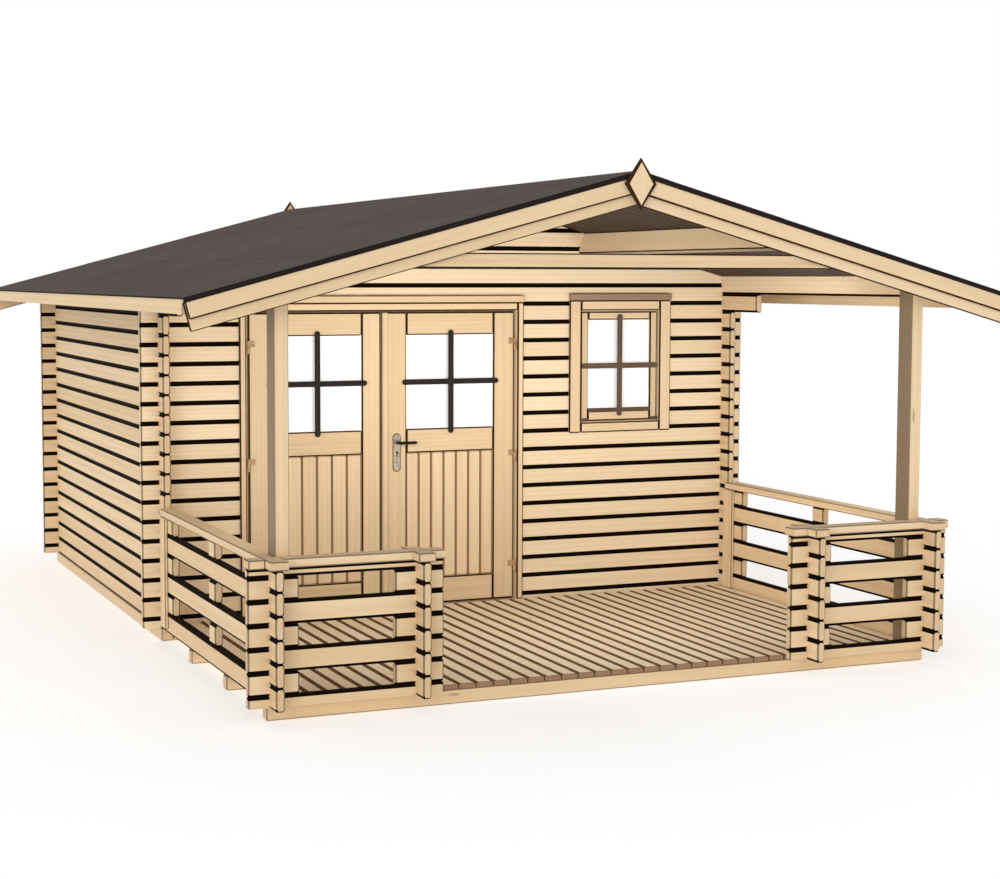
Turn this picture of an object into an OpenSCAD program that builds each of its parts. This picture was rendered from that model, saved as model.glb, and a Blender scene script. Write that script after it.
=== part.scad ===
// Garden house with terrace: interlocked log walls, felted saddle roof, double door and railing.
// The front looks along -Y, X runs across the house, Z is up, sizes are in millimetres.

/* [House] */
// Width over the outer faces of the side walls
house_w = 3790; // [3200:10:5000]
// Depth over the outer faces of the front and rear walls
house_d = 3240; // [2400:10:4500]
// Thickness of a log
log_t = 45; // [34:1:60]
// Height of one log course
log_h = 114; // [105:1:130]
// Length of a log end beyond the crossing wall
log_end = 105; // [80:1:150]
// Depth of the groove at a log joint
groove_d = 7; // [3:0.5:10]
// Half height of the groove at a log joint
groove_h = 9; // [4:0.5:14]
// Extra log courses between the doorway and the wall plates
head_courses = 0; // [0:1:4]
// Forward reach of the top side log that carries the wall plate
corbel_out = 417; // [250:1:700]
// Play between interlocked logs
notch_gap = 0.5; // [0.2:0.1:0.8]

/* [Base] */
// Height of the foundation beams
bed_h = 74; // [50:1:120]
// Width of the foundation beams
bed_w = 70; // [60:1:120]
// Reach of the front and rear beams beyond the walls and under the floor
bed_out = 20; // [10:1:30]
// Number of floor bearers between the front and rear beams
bearers = 4; // [2:1:8]
// Thickness of the floor boards indoors
floor_t = 19; // [16:1:28]
// Thickness of the terrace boards
deck_t = 26; // [19:1:32]
// Play around the floor and the terrace boards
floor_gap = 4; // [2:1:10]

/* [Roof] */
// Pitch of the roof
pitch = 15; // [12:1:25]
// Thickness of the roof boards
roof_t = 19; // [16:1:28]
// Thickness of the roofing felt
felt_t = 5; // [3:1:8]
// Drop of the felt over the bargeboards
felt_drop = 20; // [10:1:50]
// Drop of the felt over the eave boards
felt_eave = 4; // [2:1:40]
// Thickness of the felt where it is turned down
felt_lip = 3; // [2:0.5:5]
// Seam between the two slopes at the ridge
seam = 0.6; // [0.4:0.1:0.9]
// Overhang of the roof boards beyond the front wall
front_out = 2268; // [1800:1:3000]
// Overhang of the roof boards beyond the rear wall
rear_out = 190; // [140:1:500]
// Overhang of the roof boards beyond the side walls
eave_out = 408; // [200:1:600]
// Thickness of the eave boards
eave_t = 18; // [15:1:28]
// Height of the eave boards
eave_h = 72; // [60:1:140]
// Thickness of one bargeboard
barge_t = 20; // [15:1:28]
// Height of the upper bargeboard
barge_h = 100; // [70:1:150]
// Height of the lower bargeboard below the roof boards
barge_low_h = 138; // [110:1:200]
// Width of the diamond on the gable
finial_w = 176; // [100:1:240]
// Height of the diamond on the gable
finial_h = 257; // [160:1:320]
// Thickness of the diamond
finial_t = 20; // [12:1:30]
// Height of the diamond's tip above the ridge
finial_rise = 64; // [30:1:120]

/* [Purlins] */
// Width of a purlin
purlin_w = 60; // [45:1:90]
// Height of a purlin
purlin_h = 130; // [100:1:170]
// Distance of an intermediate purlin's inner top edge from the inner face of the side wall
purlin_in = 1012; // [750:1:1100]
// Height of the tie beam
tie_h = 73; // [50:1:120]
// Underside of the tie beam above the underside of the wall plates
tie_z = 151; // [125:1:220]
// Play between the tie beam and the roof boards
tie_gap = 2; // [1:0.5:5]

/* [Double door] */
// Distance of the door pair from the outer face of the left wall
door_in = 540; // [450:1:740]
// Width of the left leaf
leaf_l_w = 828; // [700:1:900]
// Width of the right leaf with its cover strip
leaf_r_w = 880; // [700:1:950]
// Height of a leaf
leaf_h = 1795; // [1700:1:2200]
// Thickness of a leaf
leaf_t = 36; // [30:1:42]
// Underside of the leaves above the foundation
leaf_z = 36; // [30:1:60]
// Play around the leaves
leaf_gap = 7; // [6:1:10]
// Width of the outer stiles
stile_w = 140; // [90:1:160]
// Width of the left leaf's meeting stile
meet_l_w = 120; // [90:1:160]
// Width of the right leaf's meeting stile with the cover strip
meet_w = 162; // [130:1:200]
// Height of the top rail
rail_top_h = 138; // [90:1:180]
// Height of the bottom rail
rail_low_h = 160; // [100:1:220]
// Underside of the middle rail above the underside of the leaf
rail_mid_z = 937; // [700:1:1100]
// Height of the middle rail
rail_mid_h = 147; // [90:1:180]
// Thickness of the lower panel
panel_t = 18; // [12:1:24]
// Thickness of a pane
glass_t = 6; // [4:1:8]
// Depth of the groove that holds a pane
glass_in = 10; // [6:1:14]
// Play of a pane in its groove
pane_gap = 0.25; // [0.1:0.05:0.5]
// Width of the cover strip
cover_w = 36; // [30:1:70]
// Thickness of the cover strip
cover_t = 15; // [10:1:20]
// Thickness of a jamb
jamb_t = 30; // [24:1:40]
// Depth of the door frame into the house
jamb_d = 60; // [55:1:80]
// Reach of the stop behind the leaves
stop_in = 14; // [10:1:24]
// Width of the side casing boards
casing_w = 42; // [36:1:80]
// Height of the head casing board
casing_h = 50; // [40:1:80]
// Thickness of the outer casing boards
casing_t = 18; // [12:1:24]
// Distance of the casing from the edge of a leaf
casing_off = 18; // [18:1:26]
// Distance of the head casing from the top of a leaf
casing_rise = 9; // [8:1:12]
// Height of the drip board over an opening
drip_h = 42; // [30:1:60]
// Depth of the drip board
drip_t = 28; // [20:1:40]

/* [Door fittings] */
// Radius of a hinge barrel
hinge_r = 7; // [6:0.5:8]
// Height of one half of a hinge
hinge_h = 38; // [30:1:60]
// Radius of a hinge pin
pin_r = 4; // [3:0.5:5]
// Play around a hinge pin and the spindle
pin_gap = 0.5; // [0.3:0.1:0.8]
// Distance of the hinge pins in front of the leaves
hinge_y = 8.5; // [8:0.5:9]
// Distance of the hinge pins beside the leaves
hinge_x = 3; // [2:0.5:4]
// Play between the two halves of a hinge
hinge_gap = 0.5; // [0.3:0.1:0.9]
// Thickness of a hinge plate
hinge_t = 4; // [3:0.5:5]
// Length of a hinge plate on the leaf
hinge_len = 40; // [30:1:80]
// Distance of the outer hinges from the ends of a leaf
hinge_end = 200; // [150:1:350]
// Width of the lock plate
lock_w = 45; // [30:1:60]
// Height of the lock plate
lock_h = 227; // [160:1:260]
// Thickness of the lock plate
lock_t = 6; // [3:1:10]
// Middle of the lock plate from the meeting edge of the right leaf
lock_x = 97; // [80:1:110]
// Axis of the lever above the underside of the leaf
lever_z = 1003; // [900:1:1100]
// Distance of the lever's axis below the top of the lock plate
lever_drop = 52; // [35:1:70]
// Reach of the lever from its axis
lever_len = 116; // [90:1:140]
// Radius of the lever
lever_r = 9; // [7:0.5:12]
// Radius of the spindle
spindle_r = 5; // [4:0.5:6]
// Depth of the spindle in the leaf
spindle_in = 20; // [12:1:26]
// Distance of the lever's axis from the lock plate
lever_off = 42; // [32:1:60]
// Play between the lever's neck and the lock plate
neck_gap = 0.6; // [0.3:0.1:0.9]

/* [Window] */
// Shift of the window from the middle of the wall field right of the door
win_shift = -57; // [-250:1:250]
// Width of the sash
win_w = 546; // [400:1:700]
// Height of the sash
win_h = 694; // [500:1:900]
// Drop of the sash below the top of the leaves
win_drop = 3; // [0:1:40]
// Width of the sash members
sash_w = 52; // [40:1:70]
// Height of the lower sash member
sash_low_h = 80; // [50:1:100]
// Thickness of the sash
sash_t = 38; // [30:1:42]
// Thickness of the window frame
frame_t = 24; // [18:1:32]
// Play around the sash
sash_gap = 0.5; // [0.3:0.1:0.9]
// Width of the window casing boards
win_casing_w = 82; // [50:1:90]
// Height of the window's head and sill casing
win_head_h = 64; // [40:1:80]
// Distance of the window casing from the sash
win_casing_off = 8; // [4:1:12]
// Play of the frames in their wall openings
fit_gap = 0.5; // [0.3:0.1:0.9]

/* [Terrace] */
// Depth of the terrace from the front wall to the front face of its railing
terrace_d = 2170; // [1700:1:2600]
// Distance of the terrace boards from the front railing
deck_gap = 5; // [3:1:12]
// Number of terrace joists
joists = 3; // [2:1:5]
// Reach of the front railing from the outer face of the side railing
return_x = 745; // [500:1:1100]
// Height of the railing logs above the foundation
rail_h = 671; // [640:1:680]
// Thickness of the handrail
cap_t = 45; // [30:1:60]
// Width of the handrail
cap_w = 90; // [70:1:120]
// Length of the spacer blocks at the house
wall_block = 180; // [140:1:260]
// Length of the middle spacer blocks
mid_block = 115; // [80:1:160]
// Distance of the middle spacer blocks from the front wall
mid_block_y = 1080; // [900:1:1300]
// Width of the cover battens at the house
batten_w = 110; // [80:1:140]
// Thickness of the cover battens
batten_t = 20; // [15:1:22]
// Distance of the cover battens from the front wall
batten_y = 80; // [50:1:100]
// Width of a post
post_w = 72; // [60:1:120]
// Depth of a post
post_d = 120; // [70:1:150]
// Play between the posts and the railing
post_gap = 0.5; // [0.3:0.1:0.9]

/* [Hidden] */
hw = house_w / 2;
x_in = hw - log_t;
front_ext = front_out + barge_t + felt_lip + finial_t;
rear_ext = rear_out + barge_t + felt_lip + finial_t;
fy = (front_ext - house_d - rear_ext) / 2;
ry = fy + house_d;
z0 = bed_h;
door_courses = ceil((leaf_z + leaf_h + leaf_gap + jamb_t + fit_gap) / log_h + 0.5);
courses = door_courses + head_courses;
z_plate = z0 + courses * log_h;
z_top = z_plate + log_h;
z_head = z0 + (door_courses - 0.5) * log_h;
tp = tan(pitch);
gable_top = ceil((under(0) - z0) / log_h);
cp = cos(pitch);
sp = sin(pitch);
roof_y0 = fy - front_out;
roof_y1 = ry + rear_out;
beam_y0 = roof_y0 + barge_t;
beam_y1 = roof_y1 - barge_t;
x_board = hw + eave_out;
x_eave = x_board + eave_t;
z_ridge = top_felt(0);
purlin_x = x_in - purlin_in;
door_x = -hw + door_in;
leaf_z0 = z0 + leaf_z;
leaf_z1 = leaf_z0 + leaf_h;
door_x1 = door_x + leaf_l_w + leaf_gap + leaf_r_w;
meet_l = door_x + leaf_l_w;
meet_r = meet_l + leaf_gap;
jamb_in_l = door_x - leaf_gap;
jamb_in_r = door_x1 + leaf_gap;
open_l = jamb_in_l - jamb_t - fit_gap;
open_r = jamb_in_r + jamb_t + fit_gap;
casing_l = door_x - casing_off;
casing_r = door_x1 + casing_off;
casing_z = leaf_z1 + casing_rise;
pivot_y = fy - hinge_y;
pivot_l = door_x - hinge_x;
pivot_r = door_x1 + hinge_x;
hinge_z = [leaf_z0 + hinge_end, leaf_z0 + leaf_h / 2, leaf_z1 - hinge_end];
win_x = (casing_r + casing_w + hw) / 2 + win_shift;
win_x0 = win_x - win_w / 2;
win_z1 = leaf_z1 - win_drop;
win_z0 = win_z1 - win_h;
hole_out = sash_gap + frame_t + fit_gap;
yr = fy - terrace_d;
deck_top = z0 + deck_t;
deck_y0 = yr + log_t + deck_gap;
rail_z = z0 + rail_h;
stack_x0 = -hw + return_x;
return_end = stack_x0 + log_t + log_end;
post_x0 = hw - log_t - post_gap - post_w;
post_y0 = yr + log_t + post_gap;
post_top = under(post_x0 + post_w) - post_gap;
lock_cx = meet_r + lock_x;
lever_zz = leaf_z0 + lever_z;
// Overshoot of a cut past the face it goes through
cut = 1;
$fn = 40;

// Underside of the roof boards, top of the boards and top of the felt at a distance from the ridge
function under(x) = z_top + (x_in - abs(x)) * tp;
function top_board(x) = under(x) + roof_t / cp;
function top_felt(x) = top_board(x) + felt_t / cp;

// One grooved face of a stack of logs, given by the heights of its joints
function face(z) = [for (i = [0 : len(z) - 2])
    each [[groove_d, z[i]], [0, z[i] + groove_h], [0, z[i + 1] - groove_h]],
    [groove_d, z[len(z) - 1]]];
function flip(p) = [for (i = [len(p) - 1 : -1 : 0]) [log_t - p[i][0], p[i][1]]];

// Joint heights of side courses a to b, and of crossing courses, which sit half a log higher
function whole(a, b) = [for (k = [a : b]) z0 + k * log_h];
function half(a, b) = [for (k = [a : b]) z0 + (k + 0.5) * log_h];

module stack_profile(z) {
    polygon(concat(face(z), flip(face(z))));
}

// A stack of logs along Y from y0 to y1 with its left face at x
module stack_y(z, x, y0, y1) {
    translate([x, y1, 0]) rotate([90, 0, 0]) linear_extrude(y1 - y0) stack_profile(z);
}

// A stack of logs along X from x0 to x1 with its front face at y
module stack_x(z, y, x0, x1) {
    translate([x0, y, 0]) rotate([90, 0, 90]) linear_extrude(x1 - x0) stack_profile(z);
}

// A plain board between two corners
module board(a, b) {
    translate(a) cube(b - a);
}

// A profile drawn in X and Z, run along Y
module along_y(y0, y1) {
    translate([0, y1, 0]) rotate([90, 0, 0]) linear_extrude(y1 - y0) children();
}

module mirrored() {
    mirror([1, 0, 0]) children();
}

// Notches where the crossing logs pass through, centred on the given heights
module notches(z, x0, x1, y0, y1) {
    for (c = z)
        translate([x0 - notch_gap / 2, y0 - notch_gap / 2, c - log_h / 4 - notch_gap / 2])
            cube([x1 - x0 + notch_gap, y1 - y0 + notch_gap, log_h / 2 + notch_gap]);
}

module foundation_beams() {
    step = (house_d - bed_w) / (bearers + 1);
    color("burlywood") {
        for (s = [-1, 1])
            translate([s * (hw - bed_w / 2) - bed_w / 2, fy - bed_out, 0])
                cube([bed_w, house_d + 2 * bed_out, bed_h]);
        for (y = [fy - bed_out, ry - bed_w - bed_out])
            translate([-hw + cut, y, 0]) cube([house_w - 2 * cut, bed_w + 2 * bed_out, bed_h]);
        for (i = [1 : bearers])
            translate([-hw + cut, fy + i * step, 0]) cube([house_w - 2 * cut, bed_w, bed_h]);
    }
}

module house_floor() {
    color("tan")
        board([-x_in + floor_gap, fy + jamb_d + floor_gap, z0],
              [x_in - floor_gap, ry - log_t - floor_gap, z0 + floor_t]);
}

module terrace_joists() {
    step = (fy - deck_y0) / joists;
    color("burlywood")
        for (i = [0 : joists - 1])
            translate([-hw, deck_y0 + i * step, 0]) cube([house_w, bed_w, bed_h]);
}

module terrace_deck() {
    color("tan")
        difference() {
            board([-x_in + floor_gap, deck_y0, z0], [x_in - floor_gap, fy - floor_gap, deck_top]);
            for (s = [0, 1])
                mirror([s, 0, 0])
                    translate([stack_x0 - floor_gap, yr, z0 - cut])
                        cube([log_t + 2 * floor_gap, log_t + log_end + floor_gap, deck_t + 2 * cut]);
        }
}

// A side wall: its logs are notched for the cross walls, and the top log lies loose on the others
module side_wall() {
    z_log = z0 + (courses - 1) * log_h;
    difference() {
        union() {
            stack_y(whole(0, courses - 1), -hw, fy - log_end, ry + log_end);
            stack_y([z_log + notch_gap, z_plate], -hw, fy - corbel_out, ry + log_end);
        }
        for (y = [fy, ry - log_t])
            notches(whole(0, courses), -hw - cut, -x_in + cut, y, y + log_t);
    }
}

module left_wall() {
    color("burlywood") side_wall();
}

module right_wall() {
    color("burlywood") mirrored() side_wall();
}

// Everything below the roof boards, less the room that the purlins take
module gable_room() {
    difference() {
        along_y(fy - cut, ry + cut)
            polygon([[-hw, 0], [hw, 0], [hw, under(hw) - notch_gap], [0, under(0) - notch_gap],
                     [-hw, under(hw) - notch_gap]]);
        along_y(fy - 2 * cut, ry + 2 * cut) purlin_profiles(notch_gap);
    }
}

// Cross section of the ridge purlin and the two intermediate purlins, grown by a play
module purlin_profiles(g) {
    ridge_profile(g);
    for (s = [0, 1]) mirror([s, 0, 0]) purlin_profile(g);
}

module ridge_profile(g) {
    w = purlin_w / 2 + g;
    polygon([[-w, under(0) - purlin_h - g], [w, under(0) - purlin_h - g], [w, under(w)],
             [0, under(0)], [-w, under(w)]]);
}

module purlin_profile(g) {
    translate([purlin_x, under(purlin_x)]) rotate(-pitch)
        translate([-g, -purlin_h - g]) square([purlin_w + 2 * g, purlin_h + g]);
}

// A front or rear wall: the log ends reach past the side walls up to the wall plates
module cross_wall(y) {
    difference() {
        stack_x(concat([z0], half(0, courses)), y, -hw - log_end, hw + log_end);
        for (s = [-1, 1])
            notches(half(0, courses), s * (hw - log_t / 2) - log_t / 2, s * (hw - log_t / 2) + log_t / 2,
                    y - cut, y + log_t + cut);
    }
}

module gable_logs(y) {
    intersection() {
        stack_x(half(courses, gable_top), y, -x_in + notch_gap, x_in - notch_gap);
        gable_room();
    }
}

module rear_wall() {
    color("burlywood") {
        cross_wall(ry - log_t);
        gable_logs(ry - log_t);
    }
}

module front_wall_left() {
    color("burlywood")
        intersection() {
            cross_wall(fy);
            board([-hw - log_end - cut, fy - cut, 0], [open_l, fy + log_t + cut, z_head]);
        }
}

// The opening for the window frame
module window_hole() {
    board([win_x0 - hole_out, fy - cut, win_z0 - hole_out],
          [win_x0 + win_w + hole_out, fy + log_t + cut, win_z1 + hole_out]);
}

module front_wall_right() {
    color("burlywood")
        difference() {
            intersection() {
                cross_wall(fy);
                board([open_r, fy - cut, 0], [hw + log_end + cut, fy + log_t + cut, z_head]);
            }
            window_hole();
        }
}

module front_gable() {
    color("burlywood")
        difference() {
            union() {
                intersection() {
                    cross_wall(fy);
                    board([-hw - log_end - cut, fy - cut, z_head],
                          [hw + log_end + cut, fy + log_t + cut, z_top]);
                }
                gable_logs(fy);
            }
            window_hole();
        }
}

module wall_plate() {
    difference() {
        along_y(beam_y0, beam_y1)
            polygon([[-hw + groove_d, z_plate], [-x_in - groove_d, z_plate], [-x_in, z_plate + groove_h],
                     [-x_in, under(x_in)], [-hw, under(hw)], [-hw, z_plate + groove_h]]);
        for (y = [fy, ry - log_t])
            notches([z_plate], -hw - cut, -x_in + cut, y, y + log_t);
    }
}

module left_wall_plate() {
    color("burlywood") wall_plate();
}

module right_wall_plate() {
    color("burlywood") mirrored() wall_plate();
}

module ridge_purlin() {
    color("burlywood") along_y(beam_y0, beam_y1) ridge_profile(0);
}

module intermediate_purlins() {
    color("burlywood")
        for (s = [0, 1]) mirror([s, 0, 0]) along_y(beam_y0, beam_y1) purlin_profile(0);
}

// The tie beam joins the lower bargeboards, its ends cut to the roof
module tie_beam() {
    z = z_plate + tie_z;
    a = x_in - (z + tie_gap - z_top) / tp;
    b = x_in - (z + tie_h + tie_gap - z_top) / tp;
    color("burlywood")
        along_y(beam_y0, beam_y0 + log_t)
            polygon([[-a, z], [a, z], [b, z + tie_h], [-b, z + tie_h]]);
}

module terrace_posts() {
    color("burlywood")
        for (s = [0, 1])
            mirror([s, 0, 0])
                translate([post_x0, post_y0, deck_top]) cube([post_w, post_d, post_top - deck_top]);
}

module roof_slope() {
    m = seam / 2;
    along_y(roof_y0, roof_y1)
        polygon([[m, under(m)], [x_board, under(x_board)], [x_board, top_board(x_board)], [m, top_board(m)]]);
}

module left_roof_boards() {
    color("sienna") mirrored() roof_slope();
}

module right_roof_boards() {
    color("sienna") roof_slope();
}

// The felt lies on both slopes and is turned down at the eaves and over the bargeboards
module roof_felt() {
    m = seam / 2;
    e = x_eave + felt_lip;
    color("dimgray")
        for (s = [0, 1])
            mirror([s, 0, 0]) {
                along_y(roof_y0 - barge_t - felt_lip, roof_y1 + barge_t + felt_lip)
                    polygon([[m, top_board(m)], [x_eave, top_board(x_eave)],
                             [x_eave, top_board(x_eave) - felt_eave], [e, top_board(x_eave) - felt_eave],
                             [e, top_felt(e)], [m, top_felt(m)]]);
                for (y = [roof_y0 - barge_t - felt_lip, roof_y1 + barge_t])
                    along_y(y, y + felt_lip)
                        polygon([[m, top_felt(m)], [e, top_felt(e)], [e, top_board(e) - felt_drop / cp],
                                 [m, top_board(m) - felt_drop / cp]]);
            }
}

// Two bargeboards on each slope: the upper one in front, the lower one under the roof boards and before
// the end of the eave board
module barge_pair(y_up, y_low) {
    m = seam / 2;
    for (s = [0, 1])
        mirror([s, 0, 0]) {
            along_y(y_up, y_up + barge_t)
                polygon([[m, top_board(m)], [x_eave, top_board(x_eave)],
                         [x_eave - barge_h * sp, top_board(x_eave) - barge_h * cp],
                         [m, top_board(m) - barge_h / cp]]);
            along_y(y_low, y_low + barge_t)
                polygon([[m, under(m)], [x_board, under(x_board)], [x_board, top_board(x_board)],
                         [x_eave, top_board(x_eave)], [x_eave, under(x_eave)],
                         [x_eave - barge_low_h * sp, under(x_eave) - barge_low_h * cp],
                         [m, under(m) - barge_low_h / cp]]);
        }
}

module front_bargeboards() {
    color("wheat") barge_pair(roof_y0 - barge_t, roof_y0);
}

module rear_bargeboards() {
    color("wheat") barge_pair(roof_y1, roof_y1 - barge_t);
}

module gable_diamonds() {
    tip = z_ridge + finial_rise;
    color("wheat")
        for (y = [roof_y0 - barge_t - felt_lip - finial_t, roof_y1 + barge_t + felt_lip])
            along_y(y, y + finial_t)
                polygon([[0, tip], [finial_w / 2, tip - finial_h / 2], [0, tip - finial_h],
                         [-finial_w / 2, tip - finial_h / 2]]);
}

module eave_boards() {
    color("wheat")
        for (s = [0, 1])
            mirror([s, 0, 0])
                along_y(beam_y0, beam_y1)
                    polygon([[x_board, top_board(x_board)], [x_board, top_board(x_eave) - eave_h],
                             [x_eave, top_board(x_eave) - eave_h], [x_eave, top_board(x_eave)]]);
}

// Jambs, head, sill and stops in the wall opening, with the casing and drip board outside
module door_frame() {
    z_in = leaf_z1 + leaf_gap;
    z_sill = leaf_z0 - leaf_gap;
    stop_y = fy + leaf_t + leaf_gap;
    head = z_head - fit_gap;
    color("wheat") {
        difference() {
            board([jamb_in_l - jamb_t, fy, z0], [jamb_in_r + jamb_t, fy + jamb_d, head]);
            board([jamb_in_l, fy - cut, z_sill], [jamb_in_r, stop_y, z_in]);
            board([jamb_in_l + stop_in, fy - cut, z_sill],
                  [jamb_in_r - stop_in, fy + jamb_d + cut, z_in - stop_in]);
        }
        for (x = [casing_l - casing_w, casing_r])
            board([x, fy - casing_t, deck_top], [x + casing_w, fy, casing_z]);
        board([casing_l - casing_w, fy - casing_t, casing_z],
              [casing_r + casing_w, fy, casing_z + casing_h]);
        board([casing_l - casing_w, fy - drip_t, casing_z + casing_h],
              [casing_r + casing_w, fy, casing_z + casing_h + drip_h]);
    }
}

// The lower half of a hinge with its pin, fixed to the jamb
module frame_hinge(z) {
    translate([0, 0, z - hinge_h - hinge_gap / 2]) cylinder(r = hinge_r, h = hinge_h);
    translate([0, 0, z - cut]) cylinder(r = pin_r, h = hinge_h - 2 * cut);
    board([-casing_off + hinge_x + cut, hinge_y - hinge_t, z - hinge_h - hinge_gap / 2],
          [-cut, hinge_y, z - hinge_gap / 2]);
}

// The upper half of a hinge, a sleeve with a plate on the leaf
module leaf_hinge(z) {
    difference() {
        union() {
            translate([0, 0, z + hinge_gap / 2]) cylinder(r = hinge_r, h = hinge_h);
            board([0, hinge_y - hinge_t, z + hinge_gap / 2],
                  [hinge_len, hinge_y, z + hinge_gap / 2 + hinge_h]);
        }
        translate([0, 0, z - cut]) cylinder(r = pin_r + pin_gap, h = hinge_h);
    }
}

module door_frame_hinges() {
    color("silver")
        for (z = hinge_z) {
            translate([pivot_l, pivot_y, 0]) frame_hinge(z);
            translate([pivot_r, pivot_y, 0]) mirrored() frame_hinge(z);
        }
}

module left_leaf_hinges() {
    color("silver") translate([pivot_l, pivot_y, 0]) for (z = hinge_z) leaf_hinge(z);
}

module right_leaf_hinges() {
    color("silver") translate([pivot_r, pivot_y, 0]) mirrored() for (z = hinge_z) leaf_hinge(z);
}

// A leaf between two stiles: a glazed field above the middle rail, a boarded field below it
module leaf(w, meet, outer) {
    glass_z = rail_mid_z + rail_mid_h;
    inset = (leaf_t - panel_t) / 2;
    difference() {
        cube([w, leaf_t, leaf_h]);
        translate([outer, -cut, glass_z])
            cube([w - outer - meet, leaf_t + 2 * cut, leaf_h - rail_top_h - glass_z]);
        translate([outer - glass_in, (leaf_t - glass_t) / 2, glass_z - glass_in])
            cube([w - outer - meet + 2 * glass_in, glass_t,
                  leaf_h - rail_top_h - glass_z + 2 * glass_in]);
        for (y = [-cut, leaf_t - inset])
            translate([outer, y, rail_low_h])
                cube([w - outer - meet, inset + cut, rail_mid_z - rail_low_h]);
    }
}

// The pane of a leaf, held in the groove of its frame
module pane(w, meet, outer) {
    glass_z = rail_mid_z + rail_mid_h;
    g = glass_in - fit_gap;
    translate([outer - g, (leaf_t - glass_t) / 2 + pane_gap, glass_z - g])
        cube([w - outer - meet + 2 * g, glass_t - 2 * pane_gap, leaf_h - rail_top_h - glass_z + 2 * g]);
}

module left_door_leaf() {
    color("burlywood") translate([door_x, fy, leaf_z0]) leaf(leaf_l_w, meet_l_w, stile_w);
}

module left_door_glass() {
    color("lightblue") translate([door_x, fy, leaf_z0]) pane(leaf_l_w, meet_l_w, stile_w);
}

module right_door_leaf() {
    color("burlywood")
        difference() {
            union() {
                translate([door_x1, fy, leaf_z0]) mirrored() leaf(leaf_r_w, meet_w, stile_w);
                translate([meet_r, fy - cover_t, leaf_z0]) cube([cover_w, cover_t, leaf_h]);
            }
            translate([lock_cx, fy - cut, lever_zz]) rotate([-90, 0, 0])
                cylinder(r = spindle_r + pin_gap, h = spindle_in + 2 * cut);
        }
}

module right_door_glass() {
    color("lightblue")
        translate([door_x1, fy, leaf_z0]) mirrored() pane(leaf_r_w, meet_w, stile_w);
}

module door_lock_plate() {
    color("silver")
        difference() {
            translate([lock_cx - lock_w / 2, fy - lock_t, lever_zz + lever_drop - lock_h])
                cube([lock_w, lock_t, lock_h]);
            translate([lock_cx, fy - lock_t - cut, lever_zz]) rotate([-90, 0, 0])
                cylinder(r = spindle_r + pin_gap, h = lock_t + 2 * cut);
        }
}

// The lever: a spindle in the leaf, a neck in front of the lock plate and a round grip
module door_lever() {
    y = fy - lock_t;
    color("silver") {
        translate([lock_cx, y - lever_off, lever_zz]) rotate([-90, 0, 0])
            cylinder(r = spindle_r, h = lever_off + lock_t + spindle_in - neck_gap);
        translate([lock_cx, y - lever_off, lever_zz]) rotate([-90, 0, 0])
            cylinder(r = lever_r, h = lever_off - neck_gap);
        translate([lock_cx, y - lever_off, lever_zz]) rotate([0, 90, 0])
            cylinder(r = lever_r, h = lever_len - lever_r);
        translate([lock_cx, y - lever_off, lever_zz]) sphere(r = lever_r);
        translate([lock_cx + lever_len - lever_r, y - lever_off, lever_zz]) sphere(r = lever_r);
    }
}

// The frame in the wall opening with casing boards and a drip board outside
module window_frame() {
    o = sash_gap + frame_t;
    c = win_casing_off;
    x1 = win_x0 + win_w;
    z_low = win_z0 - c - win_head_h;
    z_up = win_z1 + c + win_head_h;
    color("wheat") {
        difference() {
            board([win_x0 - o, fy, win_z0 - o], [x1 + o, fy + log_t, win_z1 + o]);
            board([win_x0 - sash_gap, fy - cut, win_z0 - sash_gap],
                  [x1 + sash_gap, fy + log_t + cut, win_z1 + sash_gap]);
        }
        difference() {
            board([win_x0 - c - win_casing_w, fy - casing_t, z_low], [x1 + c + win_casing_w, fy, z_up]);
            board([win_x0 - c, fy - casing_t - cut, win_z0 - c], [x1 + c, fy + cut, win_z1 + c]);
        }
        board([win_x0 - c - win_casing_w, fy - drip_t, z_up],
              [x1 + c + win_casing_w, fy, z_up + drip_h]);
    }
}

module window_sash() {
    y = fy + (log_t - sash_t) / 2;
    gy = y + (sash_t - glass_t) / 2;
    color("burlywood")
        difference() {
            board([win_x0, y, win_z0], [win_x0 + win_w, y + sash_t, win_z1]);
            board([win_x0 + sash_w, y - cut, win_z0 + sash_low_h],
                  [win_x0 + win_w - sash_w, y + sash_t + cut, win_z1 - sash_w]);
            board([win_x0 + sash_w - glass_in, gy, win_z0 + sash_low_h - glass_in],
                  [win_x0 + win_w - sash_w + glass_in, gy + glass_t, win_z1 - sash_w + glass_in]);
        }
}

module window_glass() {
    y = fy + (log_t - glass_t) / 2;
    g = glass_in - fit_gap;
    color("lightblue")
        board([win_x0 + sash_w - g, y + pane_gap, win_z0 + sash_low_h - g],
              [win_x0 + win_w - sash_w + g, y + glass_t - pane_gap, win_z1 - sash_w + g]);
}

// Side railing: three logs with spacer blocks, interlocked with the front railing at the corner
module side_railing() {
    y_wall = fy - log_end - notch_gap;
    difference() {
        union() {
            for (k = [0, 2, 4]) stack_y(whole(k, k + 1), -hw, yr - log_end, y_wall);
            for (z = [whole(1, 2), whole(3, 4), [z0 + 5 * log_h, rail_z]]) {
                stack_y(z, -hw, y_wall - wall_block, y_wall);
                stack_y(z, -hw, fy - mid_block_y - mid_block, fy - mid_block_y);
                stack_y(z, -hw, yr - log_end, yr + log_t + log_end);
            }
        }
        notches(whole(0, 6), -hw - cut, -x_in + cut, yr, yr + log_t);
    }
}

module left_side_railing() {
    color("burlywood") side_railing();
}

module right_side_railing() {
    color("burlywood") mirrored() side_railing();
}

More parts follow.
